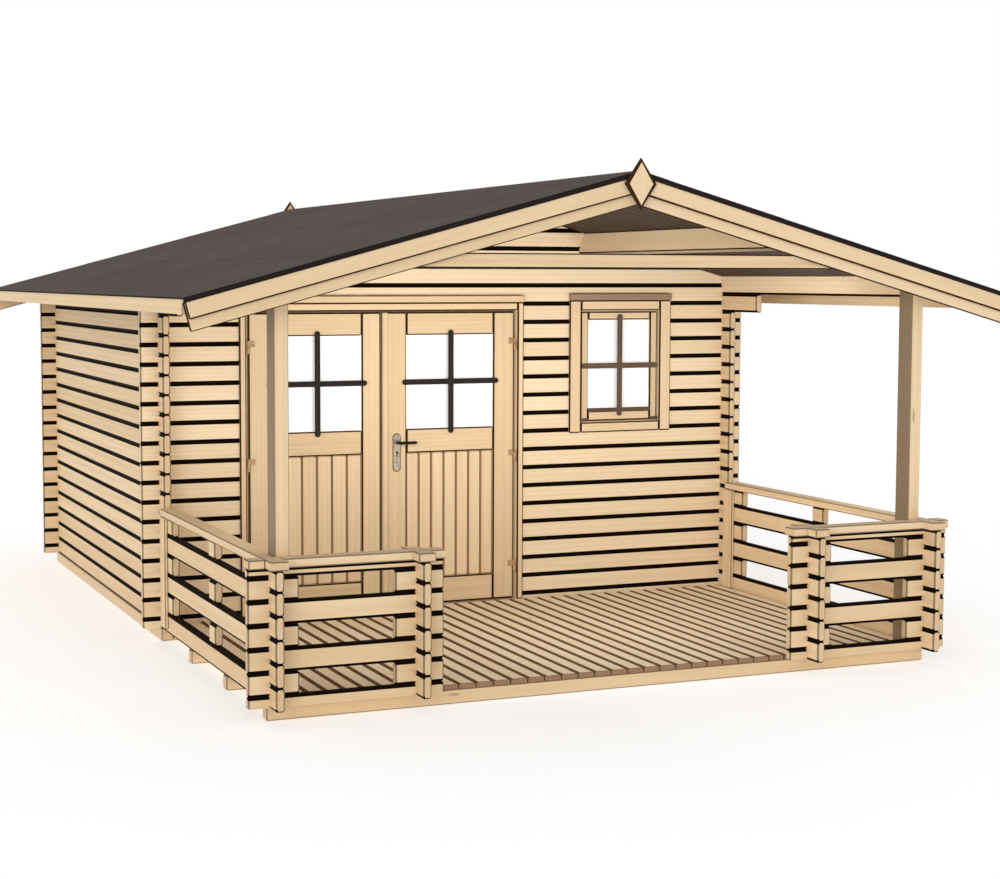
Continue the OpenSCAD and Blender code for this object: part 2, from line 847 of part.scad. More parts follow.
// Front railing: logs half a course higher, interlocked with a crossed stack beside the entry
module front_railing() {
    difference() {
        union() {
            for (z = [[z0, z0 + log_h / 2], half(1, 2), half(3, 4), [z0 + 5.5 * log_h, rail_z]])
                stack_x(z, yr, -hw - log_end, return_end);
            for (k = [0, 2, 4]) {
                stack_x(half(k, k + 1), yr, -hw - log_end, -x_in + log_end);
                stack_x(half(k, k + 1), yr, stack_x0 - log_end, return_end);
            }
        }
        for (x = [-hw, stack_x0])
            notches(half(0, 5), x, x + log_t, yr - cut, yr + log_t + cut);
    }
    difference() {
        stack_y(concat(whole(0, 5), [rail_z]), stack_x0, yr - log_end, yr + log_t + log_end);
        notches(whole(0, 6), stack_x0 - cut, stack_x0 + log_t + cut, yr, yr + log_t);
    }
}

module left_front_railing() {
    color("burlywood") front_railing();
}

module right_front_railing() {
    color("burlywood") mirrored() front_railing();
}

// Handrail boards on the side and front railing, with short ones on the log ends, clear of the post
module handrail() {
    o = (cap_w - log_t) / 2;
    g = o + notch_gap;
    z1 = rail_z + cap_t;
    difference() {
        union() {
            board([-hw - o, yr - log_end, rail_z], [-x_in + o, fy - log_end - notch_gap, z1]);
            board([-hw - log_end, yr - o, rail_z], [-hw - g, yr + log_t + o, z1]);
            board([-x_in + g, yr - o, rail_z], [return_end, yr + log_t + o, z1]);
            board([stack_x0 - o, yr - log_end, rail_z], [stack_x0 + log_t + o, yr - g, z1]);
            board([stack_x0 - o, yr + log_t + g, rail_z],
                  [stack_x0 + log_t + o, yr + log_t + log_end, z1]);
        }
        translate([-post_x0 - post_w - post_gap, post_y0 - post_gap, rail_z - cut])
            cube([post_w + 2 * post_gap, post_d + 2 * post_gap, cap_t + 2 * cut]);
    }
}

module left_handrail() {
    color("wheat") handrail();
}

module right_handrail() {
    color("wheat") mirrored() handrail();
}

// Cover battens over the butt joint of house logs and railing, outside and inside
module railing_battens() {
    color("sienna")
        for (s = [0, 1])
            mirror([s, 0, 0])
                for (x = [-hw - batten_t, -x_in])
                    board([x, fy - batten_y - batten_w, deck_top],
                          [x + batten_t, fy - batten_y, rail_z]);
}

foundation_beams();
house_floor();
terrace_joists();
terrace_deck();
left_wall();
right_wall();
rear_wall();
front_wall_left();
front_wall_right();
front_gable();
left_wall_plate();
right_wall_plate();
ridge_purlin();
intermediate_purlins();
tie_beam();
terrace_posts();
left_roof_boards();
right_roof_boards();
roof_felt();
front_bargeboards();
rear_bargeboards();
gable_diamonds();
eave_boards();
door_frame();
door_frame_hinges();
left_door_leaf();
right_door_leaf();
left_leaf_hinges();
right_leaf_hinges();
left_door_glass();
right_door_glass();
door_lock_plate();
door_lever();
window_frame();
window_sash();
window_glass();
left_side_railing();
right_side_railing();
left_front_railing();
right_front_railing();
left_handrail();
right_handrail();
railing_battens();
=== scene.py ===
"""Looks of the garden house with terrace: single logs and boards, felt, glass and fittings."""
import math
import random

import bmesh
import bpy
from mathutils import Matrix, Vector


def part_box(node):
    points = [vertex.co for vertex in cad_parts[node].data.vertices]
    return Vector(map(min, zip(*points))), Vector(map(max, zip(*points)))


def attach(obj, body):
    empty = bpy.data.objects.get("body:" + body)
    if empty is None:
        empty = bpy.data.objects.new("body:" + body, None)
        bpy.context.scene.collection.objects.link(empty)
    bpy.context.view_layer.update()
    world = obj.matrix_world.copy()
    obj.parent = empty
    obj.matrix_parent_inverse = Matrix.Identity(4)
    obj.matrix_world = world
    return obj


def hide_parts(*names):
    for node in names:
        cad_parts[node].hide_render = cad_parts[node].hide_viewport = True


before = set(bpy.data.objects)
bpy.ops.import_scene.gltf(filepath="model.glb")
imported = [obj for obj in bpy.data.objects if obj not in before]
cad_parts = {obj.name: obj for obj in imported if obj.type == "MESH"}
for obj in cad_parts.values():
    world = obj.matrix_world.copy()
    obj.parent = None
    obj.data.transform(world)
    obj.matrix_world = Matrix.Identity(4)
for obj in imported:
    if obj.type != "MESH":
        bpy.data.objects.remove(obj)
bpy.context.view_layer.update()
random.seed(7)

# Sizes of the timber, in metres
LOG_T = 0.045
COURSE = 0.114
LOG_END = 0.105
GROOVE_D = 0.007
GROOVE_H = 0.014
BEAM_WIDE = 0.070
PURLIN_WIDE, PURLIN_DEEP = 0.060, 0.130
POST_WIDE, POST_DEEP = 0.072, 0.120
PITCH = math.radians(15)
ROOF_T = 0.019
FELT_T = 0.005
BARGE_T = 0.020
CASING_T = 0.018
DRIP_H = 0.042
PLAY = 0.0005
RIDGE_GAP = 0.0003
TAN, SIN, COS = math.tan(PITCH), math.sin(PITCH), math.cos(PITCH)

# Bevels, from fine to heavy
FINE = 0.0015
SMALL = 0.003
CHAMFER = 0.0035
DRIP_BEVEL = 0.004
BARGE_BEVEL = 0.005
BEAM_BEVEL = 0.006
FIELD_BEVEL = 0.0075
FRONT_BEVEL = 0.008
LOG_BEVEL = 0.008

# How far pieces of wood lie apart in the grain's pattern: along it, beside the heart, above the heart
GRAIN_ALONG = 40
GRAIN_BESIDE = 0.09
GRAIN_ABOVE = (0.02, 0.12)

# Places read from the frame
left_lo, left_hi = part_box("left_wall")
X_OUT, X_IN = -left_lo.x, -left_hi.x
Z_BASE, Z_PLATE = left_lo.z, left_hi.z
COURSES = round((Z_PLATE - Z_BASE) / COURSE)
Y_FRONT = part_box("front_wall_left")[0].y
Y_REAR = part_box("rear_wall")[1].y
Z_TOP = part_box("left_wall_plate")[1].z
Y_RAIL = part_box("left_front_railing")[0].y + LOG_END
Z_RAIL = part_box("left_side_railing")[1].z
X_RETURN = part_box("left_front_railing")[1].x
X_STACK = X_RETURN - LOG_T - LOG_END
Z_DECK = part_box("terrace_deck")[1].z
X_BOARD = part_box("right_roof_boards")[1].x
X_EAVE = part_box("eave_boards")[1].x


def under(x):
    """Height of the roof boards' underside at a distance from the ridge."""
    return Z_TOP + (X_IN - abs(x)) * TAN


def on_slope(x0, down, up):
    """X and Z of a point down the slope from x0 and up along the roof's normal."""
    return x0 + down * COS + up * SIN, under(x0) - down * SIN + up * COS


def ridge_cut(u, v):
    """Where a sloping piece starts, so that it meets its twin plumb at the ridge."""
    return -v * TAN


def plumb_cut(x):
    """Where a sloping piece ends that is cut plumb at a distance from the ridge."""
    return lambda u, v: (x - RIDGE_GAP - v * SIN) / COS


def whole(k):
    """Height of a joint between side logs."""
    return Z_BASE + k * COURSE


def half(k):
    """Height of a joint between cross logs, half a course higher."""
    return Z_BASE + (k + 0.5) * COURSE


# Profiles and outlines

def rect(u0, u1, v0, v1, bevel=CHAMFER):
    """A rectangle with bevelled corners."""
    return [(u0 + bevel, v0), (u1 - bevel, v0), (u1, v0 + bevel), (u1, v1 - bevel),
            (u1 - bevel, v1), (u0 + bevel, v1), (u0, v1 - bevel), (u0, v0 + bevel)]


def log_profile(face, za, zb, low=True, high=True, square=CHAMFER):
    """A log with its outer face at the given place and chamfered joints below and above.

    An edge without a joint stays square, apart from a small bevel.
    """
    da, ha = (GROOVE_D, GROOVE_H) if low else (square, square)
    db, hb = (GROOVE_D, GROOVE_H) if high else (square, square)
    back = face + LOG_T
    return [(face + da, za), (back - da, za), (back, za + ha), (back, zb - hb),
            (back - db, zb), (face + db, zb), (face, zb - hb), (face, za + ha)]


# Sides of these profiles by number: a log's joints, bevelled corners, a board's front edges by its grain,
# painted dark as shade lines
LOG_JOINTS = (0, 1, 3, 4, 5, 7)
LOW_JOINTS = (0, 1, 7)
HIGH_JOINTS = (3, 4, 5)
CORNERS = (1, 3, 5, 7)
FRONT_SHADE_EDGES = {"X": (5, 7), "Z": (1, 7)}


def inset(outline, distance):
    """The outline with its points moved inward, for the bevel at the ends."""
    points = [Vector(point) for point in outline]
    before = points[-1:] + points[:-1]
    after = points[1:] + points[:1]
    area = sum(p.x * q.y - q.x * p.y for p, q in zip(points, after))
    turn = 1 if area > 0 else -1
    moved = []
    for p, q, r in zip(before, points, after):
        a, b = (q - p).normalized(), (r - q).normalized()
        normal = Vector((-(a + b).y, (a + b).x)) * turn
        normal.normalize()
        moved.append(tuple(q + normal * distance))
    return moved


def round_ended(a, b, r, steps=8):
    """Outline of a bar from a to b along the first axis, with half-round ends."""
    turns = [math.pi * (i / steps - 0.5) for i in range(steps + 1)]
    outline = [(b - r + r * math.cos(t), r * math.sin(t)) for t in turns]
    return outline + [(a + r - r * math.cos(t), -r * math.sin(t)) for t in turns]


def grain_along_u(a, u, v):
    """Grain along the profile's first axis."""
    return (u, v, a)


def grain_along_v(a, u, v):
    """Grain along the profile's second axis."""
    return (v, u, a)


class Piece:
    """Prisms in one mesh, with grain, tone, end grain, joints and painted shade on edges for the shader.
    """

    def __init__(self, name, side=1):
        self.name = name
        self.side = side
        self.verts, self.faces = [], []
        self.grain, self.tone = [], []
        self.end, self.joint, self.edge = [], [], []
        self.next_stick()

    def next_stick(self):
        """New tone and grain for the next stick of wood."""
        self.shift = Vector((random.uniform(0, GRAIN_ALONG), random.uniform(-GRAIN_BESIDE, GRAIN_BESIDE),
                             random.uniform(*GRAIN_ABOVE)))
        self.stick_tone = random.random()

    def prism(self, profile, start, stop, place, dark=(), edges=(), bevel=CHAMFER, depth=None,
              grain=None, same=False, ends=None, sealed=False):
        """Runs a profile from start to stop, each a number or a function of the profile's point.

        The ends are bevelled, as deep as wide unless a depth is given. Sides in dark take the seam colour:
        joints between pieces, and painted shade lines on free edges. Sides in edges and the end bevels are
        toned toward it as painted shade. The caps show end grain, or else the sides in ends. The flag for
        dark caps paints the caps and end bevels dark, as painted shade. With same, the prism belongs to
        the stick before it.
        """
        if not same:
            self.next_stick()
        first = len(self.verts)
        small = inset(profile, bevel)
        depth = bevel if depth is None else depth
        rings = ((small, start, 0), (profile, start, 1), (profile, stop, -1), (small, stop, 0))
        for ring, limit, way in rings:
            for u, v in ring:
                a = (limit(u, v) if callable(limit) else limit) + way * depth
                x, y, z = place(a, u, v)
                self.verts.append((x * self.side, y, z))
                local = grain(a, u, v) if grain else (a, u, v)
                self.grain.append(Vector(local) + self.shift)
                self.tone.append(self.stick_tone)
        n = len(profile)
        for band in range(3):
            slanted = band != 1
            a, b = first + band * n, first + (band + 1) * n
            for i in range(n):
                j = (i + 1) % n
                end = slanted if ends is None else i in ends
                # Dark sides, and with the flag for dark caps the end bevels: joints and painted shade
                # lines. Sides in edges and end bevels: toned as painted shade.
                joint = i in dark or (sealed and slanted)
                self.add_face((a + i, a + j, b + j, b + i), end, joint, slanted or i in edges)
        # Caps flagged dark are painted as shade.
        for cap in (first, first + 3 * n):
            self.add_face(tuple(range(cap, cap + n)), ends is None, sealed, False)

    def add_face(self, corners, end, joint, edge):
        self.faces.append(corners)
        self.end.append(float(end))
        self.joint.append(float(joint))
        self.edge.append(float(edge))

    def along_x(self, profile, x0, x1, **more):
        """A profile in Y and Z, run along X."""
        self.prism(profile, x0, x1, lambda a, u, v: (a, u, v), **more)

    def across(self, profile, reach, **more):
        """A profile in Y and Z, run along X as far as it reaches to both sides of the middle."""
        self.along_x(profile, lambda u, v: -reach(u, v), reach, **more)

    def along_y(self, profile, y0, y1, **more):
        """A profile in X and Z, run along Y."""
        self.prism(profile, y0, y1, lambda a, u, v: (u, a, v), **more)

    def along_z(self, profile, z0, z1, **more):
        """A profile in X and Y, run along Z."""
        self.prism(profile, z0, z1, lambda a, u, v: (u, v, a), **more)

    def board(self, lo, hi, axis, bevel=CHAMFER, front=False, **more):
        """A board between two corners, its grain along one axis. A front board has its front edges and
        caps painted dark as shade lines.
        """
        if front:
            bevel = FRONT_BEVEL
            more["dark"] = FRONT_SHADE_EDGES[axis]
            more["sealed"] = True
        # Bevelled corners are toned toward the seam colour as painted shade, unless other sides are given.
        more.setdefault("edges", CORNERS)
        if axis == "X":
            self.along_x(rect(lo[1], hi[1], lo[2], hi[2], bevel), lo[0], hi[0], bevel=bevel, **more)
        elif axis == "Y":
            self.along_y(rect(lo[0], hi[0], lo[2], hi[2], bevel), lo[1], hi[1], bevel=bevel, **more)
        else:
            self.along_z(rect(lo[0], hi[0], lo[1], hi[1], bevel), lo[2], hi[2], bevel=bevel, **more)

    def slope(self, profile, start, stop, **more):
        """A profile in Y and the roof's normal, run down the slope from the ridge."""
        def place(a, u, v):
            x, z = on_slope(RIDGE_GAP, a, v)
            return (x, u, z)
        self.prism(profile, start, stop, place, **more)

    def purlin(self, profile, y0, y1, **more):
        """A profile down the slope and along the roof's normal, run along Y."""
        def place(a, u, v):
            x, z = on_slope(0, u, v)
            return (x, a, z)
        self.prism(profile, y0, y1, place, **more)

    def build(self, material, body, slot, *nodes):
        """Makes the mesh, rides it on its body and lets it stand for the nodes."""
        mesh = bpy.data.meshes.new(self.name)
        mesh.from_pydata(self.verts, [], self.faces)
        bm = bmesh.new()
        bm.from_mesh(mesh)
        bmesh.ops.recalc_face_normals(bm, faces=bm.faces)
        bm.to_mesh(mesh)
        bm.free()
        grain = mesh.attributes.new("grain", "FLOAT_VECTOR", "POINT")
        grain.data.foreach_set("vector", [c for g in self.grain for c in g])
        tone = mesh.attributes.new("tone", "FLOAT", "POINT")
        tone.data.foreach_set("value", self.tone)
        # Face marks for the shader: end grain, dark joints with painted shade lines, and edges toned as
        # painted shade.
        for name, marks in (("end", self.end), ("joint", self.joint), ("edge", self.edge)):
            mark = mesh.attributes.new(name, "FLOAT", "FACE")
            mark.data.foreach_set("value", marks)
        mesh.materials.append(material)
        obj = bpy.data.objects.new(self.name, mesh)
        bpy.context.collection.objects.link(obj)
        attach(obj, body)
        if nodes:
            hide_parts(*nodes)


# Materials

def linear(r, g, b):
    """A colour given as it looks on screen, 0 to 255, in linear light."""
    def channel(c):
        return c / 255 / 12.92 if c <= 10 else ((c / 255 + 0.055) / 1.055) ** 2.4
    return (channel(r), channel(g), channel(b), 1)


WHITE = (1.0, 1.0, 1.0, 1)
END_GRAIN = (linear(214, 180, 136), linear(176, 138, 96))
KNOT_BROWN = linear(120, 78, 46)


class Nodes:
    """A material's node tree with short names for the nodes that the finishes use."""

    def __init__(self, name):
        self.material = bpy.data.materials.new(name)
        self.material.use_nodes = True
        self.tree = self.material.node_tree
        self.shader = self.tree.nodes["Principled BSDF"]

    def add(self, kind, inputs=(), **settings):
        node = self.tree.nodes.new(kind)
        for key, value in settings.items():
            setattr(node, key, value)
        for key, value in dict(inputs).items():
            self.put(node.inputs[key], value)
        return node

    def put(self, socket, value):
        if isinstance(value, bpy.types.NodeSocket):
            self.tree.links.new(value, socket)
        else:
            socket.default_value = value

    def set(self, **inputs):
        """Sets or links the shader's inputs, with _ for the blanks in their names."""
        for key, value in inputs.items():
            self.put(self.shader.inputs[key.replace("_", " ")], value)

    def attribute(self, name, output="Fac"):
        return self.add("ShaderNodeAttribute", attribute_name=name).outputs[output]

    def place(self):
        return self.add("ShaderNodeTexCoord").outputs["Object"]

    def stretch(self, vector, scale):
        return self.add("ShaderNodeMapping", {"Vector": vector, "Scale": scale}).outputs[0]

    def noise(self, vector, detail, scale=1.0):
        inputs = {"Vector": vector, "Scale": scale, "Detail": detail}
        return self.add("ShaderNodeTexNoise", inputs).outputs[0]

    def cells(self, vector, scale=1.0):
        return self.add("ShaderNodeTexVoronoi", {"Vector": vector, "Scale": scale})

    def rings(self, vector, scale, distortion, finer):
        """Growth rings around the grain's axis."""
        inputs = {"Vector": vector, "Scale": scale, "Distortion": distortion, "Detail": 2.0,
                  "Detail Scale": finer}
        return self.add("ShaderNodeTexWave", inputs, wave_type="RINGS", rings_direction="X").outputs[1]

    def red(self, colour):
        return self.add("ShaderNodeSeparateColor", {0: colour}).outputs[0]

    def math(self, operation, a, b):
        return self.add("ShaderNodeMath", {0: a, 1: b}, operation=operation).outputs[0]

    def times(self, a, b):
        return self.math("MULTIPLY", a, b)

    def total(self, *weighted):
        """The sum of values, each times its weight."""
        terms = [self.times(value, weight) for value, weight in weighted]
        result = terms[0]
        for term in terms[1:]:
            result = self.math("ADD", result, term)
        return result

    def fit(self, value, a, b, c=0.0, d=1.0):
        """The value moved smoothly from the range a to b into the range c to d."""
        inputs = {"Value": value, "From Min": a, "From Max": b, "To Min": c, "To Max": d}
        return self.add("ShaderNodeMapRange", inputs, interpolation_type="SMOOTHSTEP").outputs[0]

    def mix(self, factor, a, b):
        return self.add("ShaderNodeMix", {0: factor, 6: a, 7: b}, data_type="RGBA").outputs[2]

    def bump(self, height, strength, distance):
        node = self.add("ShaderNodeBump", {"Height": height, "Strength": strength, "Distance": distance})
        self.put(self.shader.inputs["Normal"], node.outputs[0])


def wood(name, light, dark, seam, knot_share=0.35, rough=0.62, end_share=0.35, edge_shade_share=0.45,
         end_pair=END_GRAIN):
    """Planed softwood: streaks and growth rings along the grain, small knots and end grain.

    Joints have the seam's colour, and so do faces marked as painted shade lines; edges take a share of it
    as painted shade.
    """
    knot_strength = 0.55
    joint_gloss, gloss = 0.02, 0.3
    n = Nodes(name)
    grain = n.attribute("grain", "Vector")
    joint = n.attribute("joint")
    streak = n.noise(n.stretch(grain, (1.1, 24, 24)), detail=4.0)
    fibre = n.noise(n.stretch(grain, (9, 420, 420)), detail=2.0)
    rings = n.rings(n.stretch(grain, (0.16, 1, 1)), scale=13.0, distortion=2.2, finer=0.8)
    share = n.total((streak, 0.65), (rings, 0.22), (fibre, 0.25), (n.attribute("tone"), 0.34))
    colour = n.mix(n.fit(share, 0.25, 1.15), light, dark)
    knots = n.cells(n.stretch(grain, (1.5, 7.5, 7.5)))
    spot = n.fit(knots.outputs["Distance"], 0.035, 0.085, 1.0, 0.0)
    chosen = n.math("GREATER_THAN", n.red(knots.outputs["Color"]), 1 - knot_share)
    colour = n.mix(n.times(n.times(spot, chosen), knot_strength), colour, KNOT_BROWN)
    ring_ends = n.rings(n.stretch(grain, (0.0, 1, 1)), scale=42.0, distortion=1.2, finer=1.5)
    ends = n.mix(n.fit(ring_ends, 0.1, 0.9), *end_pair)
    colour = n.mix(n.times(n.attribute("end"), end_share), colour, ends)
    # Marked edges and end bevels toned toward the seam colour: painted shade lines.
    colour = n.mix(n.times(n.attribute("edge"), edge_shade_share), colour, seam)
    # Marked faces take the seam colour: dark joints between pieces, and painted shade on front edges,
    # lower edges and dark caps.
    colour = n.mix(joint, colour, seam)
    n.set(Base_Color=colour, Roughness=n.fit(fibre, 0.2, 0.8, rough - 0.1, rough + 0.1),
          Specular_IOR_Level=n.fit(joint, 0.0, 1.0, gloss, joint_gloss))
    n.bump(n.total((fibre, 0.6), (rings, 1.0)), strength=0.25, distance=0.0012)
    return n.material


def felt(name, dark, light):
    """Bitumen felt with mineral granules, a little paler where it has weathered."""
    n = Nodes(name)
    place = n.place()
    cloud = n.noise(place, detail=5.0, scale=1.3)
    grit = n.cells(place, scale=420.0)
    share = n.total((cloud, 0.7), (n.red(grit.outputs["Color"]), 0.45))
    n.set(Base_Color=n.mix(n.fit(share, 0.2, 1.0), dark, light), Roughness=0.93, Specular_IOR_Level=0.2)
    n.bump(grit.outputs["Distance"], strength=0.5, distance=0.0015)
    return n.material


def steel(name, colour, rough):
    """Worn steel with fine brushing and darker stains."""
    stain_share = 0.45
    n = Nodes(name)
    place = n.place()
    brushed = n.noise(n.stretch(place, (900, 900, 40)), detail=2.0)
    stain = n.noise(place, detail=4.0, scale=60.0)
    dark = tuple(c * stain_share for c in colour[:3]) + (1,)
    n.set(Base_Color=n.mix(n.fit(stain, 0.45, 0.75), colour, dark), Metallic=1.0,
          Roughness=n.fit(brushed, 0.2, 0.8, rough - 0.08, rough + 0.1))
    n.bump(brushed, strength=0.15, distance=0.0004)
    return n.material


def painted_sky_glass():
    """Glass painted near white with a faint glow: painted reflection of the bright sky and painted light,
    with a clear coat and faint waves.
    """
    clear, shaded = (0.98, 0.99, 0.99, 1), (0.95, 0.97, 0.98, 1)
    n = Nodes("painted_sky_glass")
    wave = n.noise(n.place(), detail=2.0, scale=3.0)
    n.set(Base_Color=n.mix(n.fit(wave, 0.3, 0.7), clear, shaded), Roughness=0.05, IOR=1.5,
          Coat_Weight=1.0, Coat_Roughness=0.02, Emission_Color=WHITE, Emission_Strength=0.12)
    n.bump(wave, strength=0.05, distance=0.002)
    return n.material


# Colours of joints, also painted as shade on free edges, lower edges and caps.
SEAM_AND_SHADE_DARK = linear(20, 11, 6)
SEAM_AND_SHADE_BROWN = linear(62, 40, 24)
PALE, WARM = linear(242, 215, 176), linear(224, 193, 150)
LOG_WOOD = wood("log_wood", PALE, WARM, SEAM_AND_SHADE_DARK, knot_share=0.22, edge_shade_share=0.65)
# A paler copy of the log wood for the parts under the roof: painted light that makes up for the roof's
# shade.
PAINTED_LIGHT_WOOD = wood("painted_light_wood", linear(252, 229, 194), linear(238, 210, 170), SEAM_AND_SHADE_DARK,
                      knot_share=0.2, edge_shade_share=0.65)
TRIM_WOOD = wood("trim_wood", PALE, linear(227, 197, 155), SEAM_AND_SHADE_BROWN, knot_share=0.2, edge_shade_share=0.7)
FIELD_WOOD = wood("field_wood", linear(244, 217, 178), linear(230, 200, 159), linear(160, 126, 94),
                  knot_share=0.1)
JOINERY_WOOD = wood("joinery_wood", linear(237, 210, 170), linear(222, 192, 150), SEAM_AND_SHADE_BROWN,
                    knot_share=0.1)
# The board ends are darker than other end grain: real end grain, darkened further as painted shade.
DECK_WOOD = wood("deck_wood", linear(255, 240, 210), linear(247, 224, 188), linear(122, 90, 63),
                 rough=0.7, end_share=1.0, end_pair=(linear(170, 136, 104), linear(132, 100, 72)))
# Dark brown roof boards: painted shade for the underside of the roof.
PAINTED_SHADE_ROOF_WOOD = wood("roof_wood", linear(58, 44, 36), linear(42, 31, 25), linear(16, 10, 7), knot_share=0.3)
# A darker brown wood for the window's drip board: painted shade on the board.
PAINTED_SHADE_DRIP_WOOD = wood("painted_shade_drip_wood", linear(180, 152, 124), linear(150, 122, 96), linear(60, 40, 26),
                 knot_share=0.1)
BAR_DARK = wood("bar_dark", linear(44, 34, 28), linear(26, 19, 15), linear(12, 8, 6),
                knot_share=0.0, rough=0.5)
BAR_BROWN = wood("bar_brown", linear(116, 92, 70), linear(84, 62, 44), linear(30, 20, 14),
                 knot_share=0.0)
FELT = felt("felt", linear(82, 72, 67), linear(103, 91, 85))
# A darker felt at the laps: painted shade lines at the steps of the sheets.
PAINTED_SHADE_FELT_LAP = felt("felt_lap_painted_shade", linear(73, 63, 59), linear(88, 77, 72))
# Near black felt on the lips: painted shade.
PAINTED_SHADE_FELT_EDGE = felt("felt_edge", linear(24, 18, 15), linear(38, 30, 26))
BRASS = steel("brassed_steel", linear(238, 208, 164), rough=0.6)
BLACK_STEEL = steel("black_steel", linear(58, 52, 48), rough=0.42)
PALE_STEEL = steel("pale_steel", linear(240, 226, 204), rough=0.5)
PAINTED_SKY_GLASS = painted_sky_glass()


# Base

def foundation():
    """Beams under the walls, with bearers between them."""
    lo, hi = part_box("foundation_beams")
    out = Y_FRONT - lo.y
    inner = X_OUT - BEAM_WIDE
    bearers = 4
    step = (Y_REAR - Y_FRONT - BEAM_WIDE) / (bearers + 1)
    beams = Piece("base_beams")
    for x in (-X_OUT, inner):
        beams.board((x, lo.y, 0), (x + BEAM_WIDE, hi.y, Z_BASE), "Y", bevel=BEAM_BEVEL)
    for y in (lo.y, Y_REAR - BEAM_WIDE - out):
        beams.board((-inner, y, 0), (inner, y + BEAM_WIDE + 2 * out, Z_BASE), "X")
    for i in range(bearers):
        y = Y_FRONT + (i + 1) * step
        beams.board((-inner, y, 0), (inner, y + BEAM_WIDE, Z_BASE), "X")
    beams.build(LOG_WOOD, "house", "log_wood", "foundation_beams")


def terrace_joists():
    y0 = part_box("terrace_joists")[0].y
    count = 3
    step = (Y_FRONT - y0) / count
    joists = Piece("terrace_joist_beams")
    for i in range(count):
        y = y0 + i * step
        joists.board((-X_OUT, y, 0), (X_OUT, y + BEAM_WIDE, Z_BASE), "X", bevel=BEAM_BEVEL)
    joists.build(LOG_WOOD, "house", "log_wood", "terrace_joists")


def floor_boards():
    lo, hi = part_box("house_floor")
    count = 32
    wide = (hi.x - lo.x) / count
    top_edges = (3, 5)
    floor = Piece("floor_boards")
    for i in range(count):
        x = lo.x + i * wide
        floor.board((x + PLAY, lo.y, lo.z), (x + wide - PLAY, hi.y, hi.z), "Y", bevel=FINE, dark=top_edges)
    floor.build(DECK_WOOD, "house", "floor_wood", "house_floor")


def deck_board(deck, xa, xb, y0, y1):
    """A terrace board with wide flat bevels along its top."""
    lo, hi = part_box("terrace_deck")
    bevel, depth, end_bevel = 0.013, 0.004, 0.002
    shoulder = hi.z - depth
    profile = [(xa, lo.z), (xb, lo.z), (xb, shoulder), (xb - bevel, hi.z), (xa + bevel, hi.z),
               (xa, shoulder)]
    sides = (1, 2, 4, 5)
    deck.along_y(profile, y0, y1, bevel=end_bevel, dark=sides)


def deck_boards():
    """Terrace boards, cut out around the log stacks beside the entry."""
    lo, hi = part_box("terrace_deck")
    count = 39
    gap, play, least = 0.005, 0.004, 0.039
    wide = (hi.x - lo.x + gap) / count
    behind = Y_RAIL + LOG_T + LOG_END + play
    stacks = [(X_STACK - play, X_STACK + LOG_T + play), (-X_STACK - LOG_T - play, -X_STACK + play)]
    deck = Piece("deck_boards")
    for i in range(count):
        xa = lo.x + i * wide
        xb = xa + wide - gap
        y0 = lo.y
        for stack_a, stack_b in stacks:
            if xb > stack_a and xa < stack_b:
                y0 = behind
                for a, b in ((xa, stack_a), (stack_b, xb)):
                    if b - a > least:
                        deck_board(deck, a, b, lo.y, behind)
        deck_board(deck, xa, xb, y0, hi.y)
    deck.build(DECK_WOOD, "house", "floor_wood", "terrace_deck")


# Log walls

def side_log(wall, x, za, zb, y0, y1):
    """A log along Y with joints below and above."""
    wall.along_y(log_profile(x, za, zb), y0, y1, dark=LOG_JOINTS, bevel=LOG_BEVEL)


def cross_log(wall, y, za, zb, x0, x1, same=False):
    """A log along X with joints, except under the lowest."""
    low = za > Z_BASE
    joints = LOG_JOINTS if low else HIGH_JOINTS
    wall.along_x(log_profile(y, za, zb, low), x0, x1, dark=joints, bevel=LOG_BEVEL, same=same)


def side_wall(name, side):
    """Logs along the side. The topmost runs forward as a corbel."""
    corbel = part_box(name)[0].y
    wall = Piece(name + "_logs", side)
    for k in range(COURSES):
        y0 = corbel if k == COURSES - 1 else Y_FRONT - LOG_END
        side_log(wall, -X_OUT, whole(k), whole(k + 1), y0, Y_REAR + LOG_END)
    wall.build(LOG_WOOD, "house", "log_wood", name)


def cross_heights():
    """Lower and upper edge of each cross log up to the wall plates."""
    joints = [Z_BASE] + [half(k) for k in range(COURSES + 1)]
    return list(zip(joints, joints[1:]))


def gable_reach(u, v):
    """Half length of a gable log, between the wall plates and then under the roof."""
    return min(X_IN, X_IN - (v - Z_TOP) / TAN) - PLAY


def gable_logs(wall, y):
    """Logs between the wall plates, cut to the roof. The lowest has a bend in its cut."""
    clear, sharp = 0.012, 0.0002
    top = under(0) - clear
    k = COURSES
    lower = log_profile(y, half(k), Z_TOP, high=False, square=sharp)
    wall.along_x(lower, PLAY - X_IN, X_IN - PLAY, dark=LOW_JOINTS)
    upper = log_profile(y, Z_TOP, half(k + 1), low=False, square=sharp)
    wall.across(upper, gable_reach, dark=HIGH_JOINTS, same=True)
    k += 1
    while half(k) < top:
        profile = log_profile(y, half(k), min(half(k + 1), top), high=half(k + 1) < top)
        wall.across(profile, gable_reach, dark=LOG_JOINTS)
        k += 1


def rear_wall():
    wall = Piece("rear_wall_logs")
    for za, zb in cross_heights():
        cross_log(wall, Y_REAR - LOG_T, za, zb, -X_OUT - LOG_END, X_OUT + LOG_END)
    gable_logs(wall, Y_REAR - LOG_T)
    wall.build(LOG_WOOD, "house", "log_wood", "rear_wall")


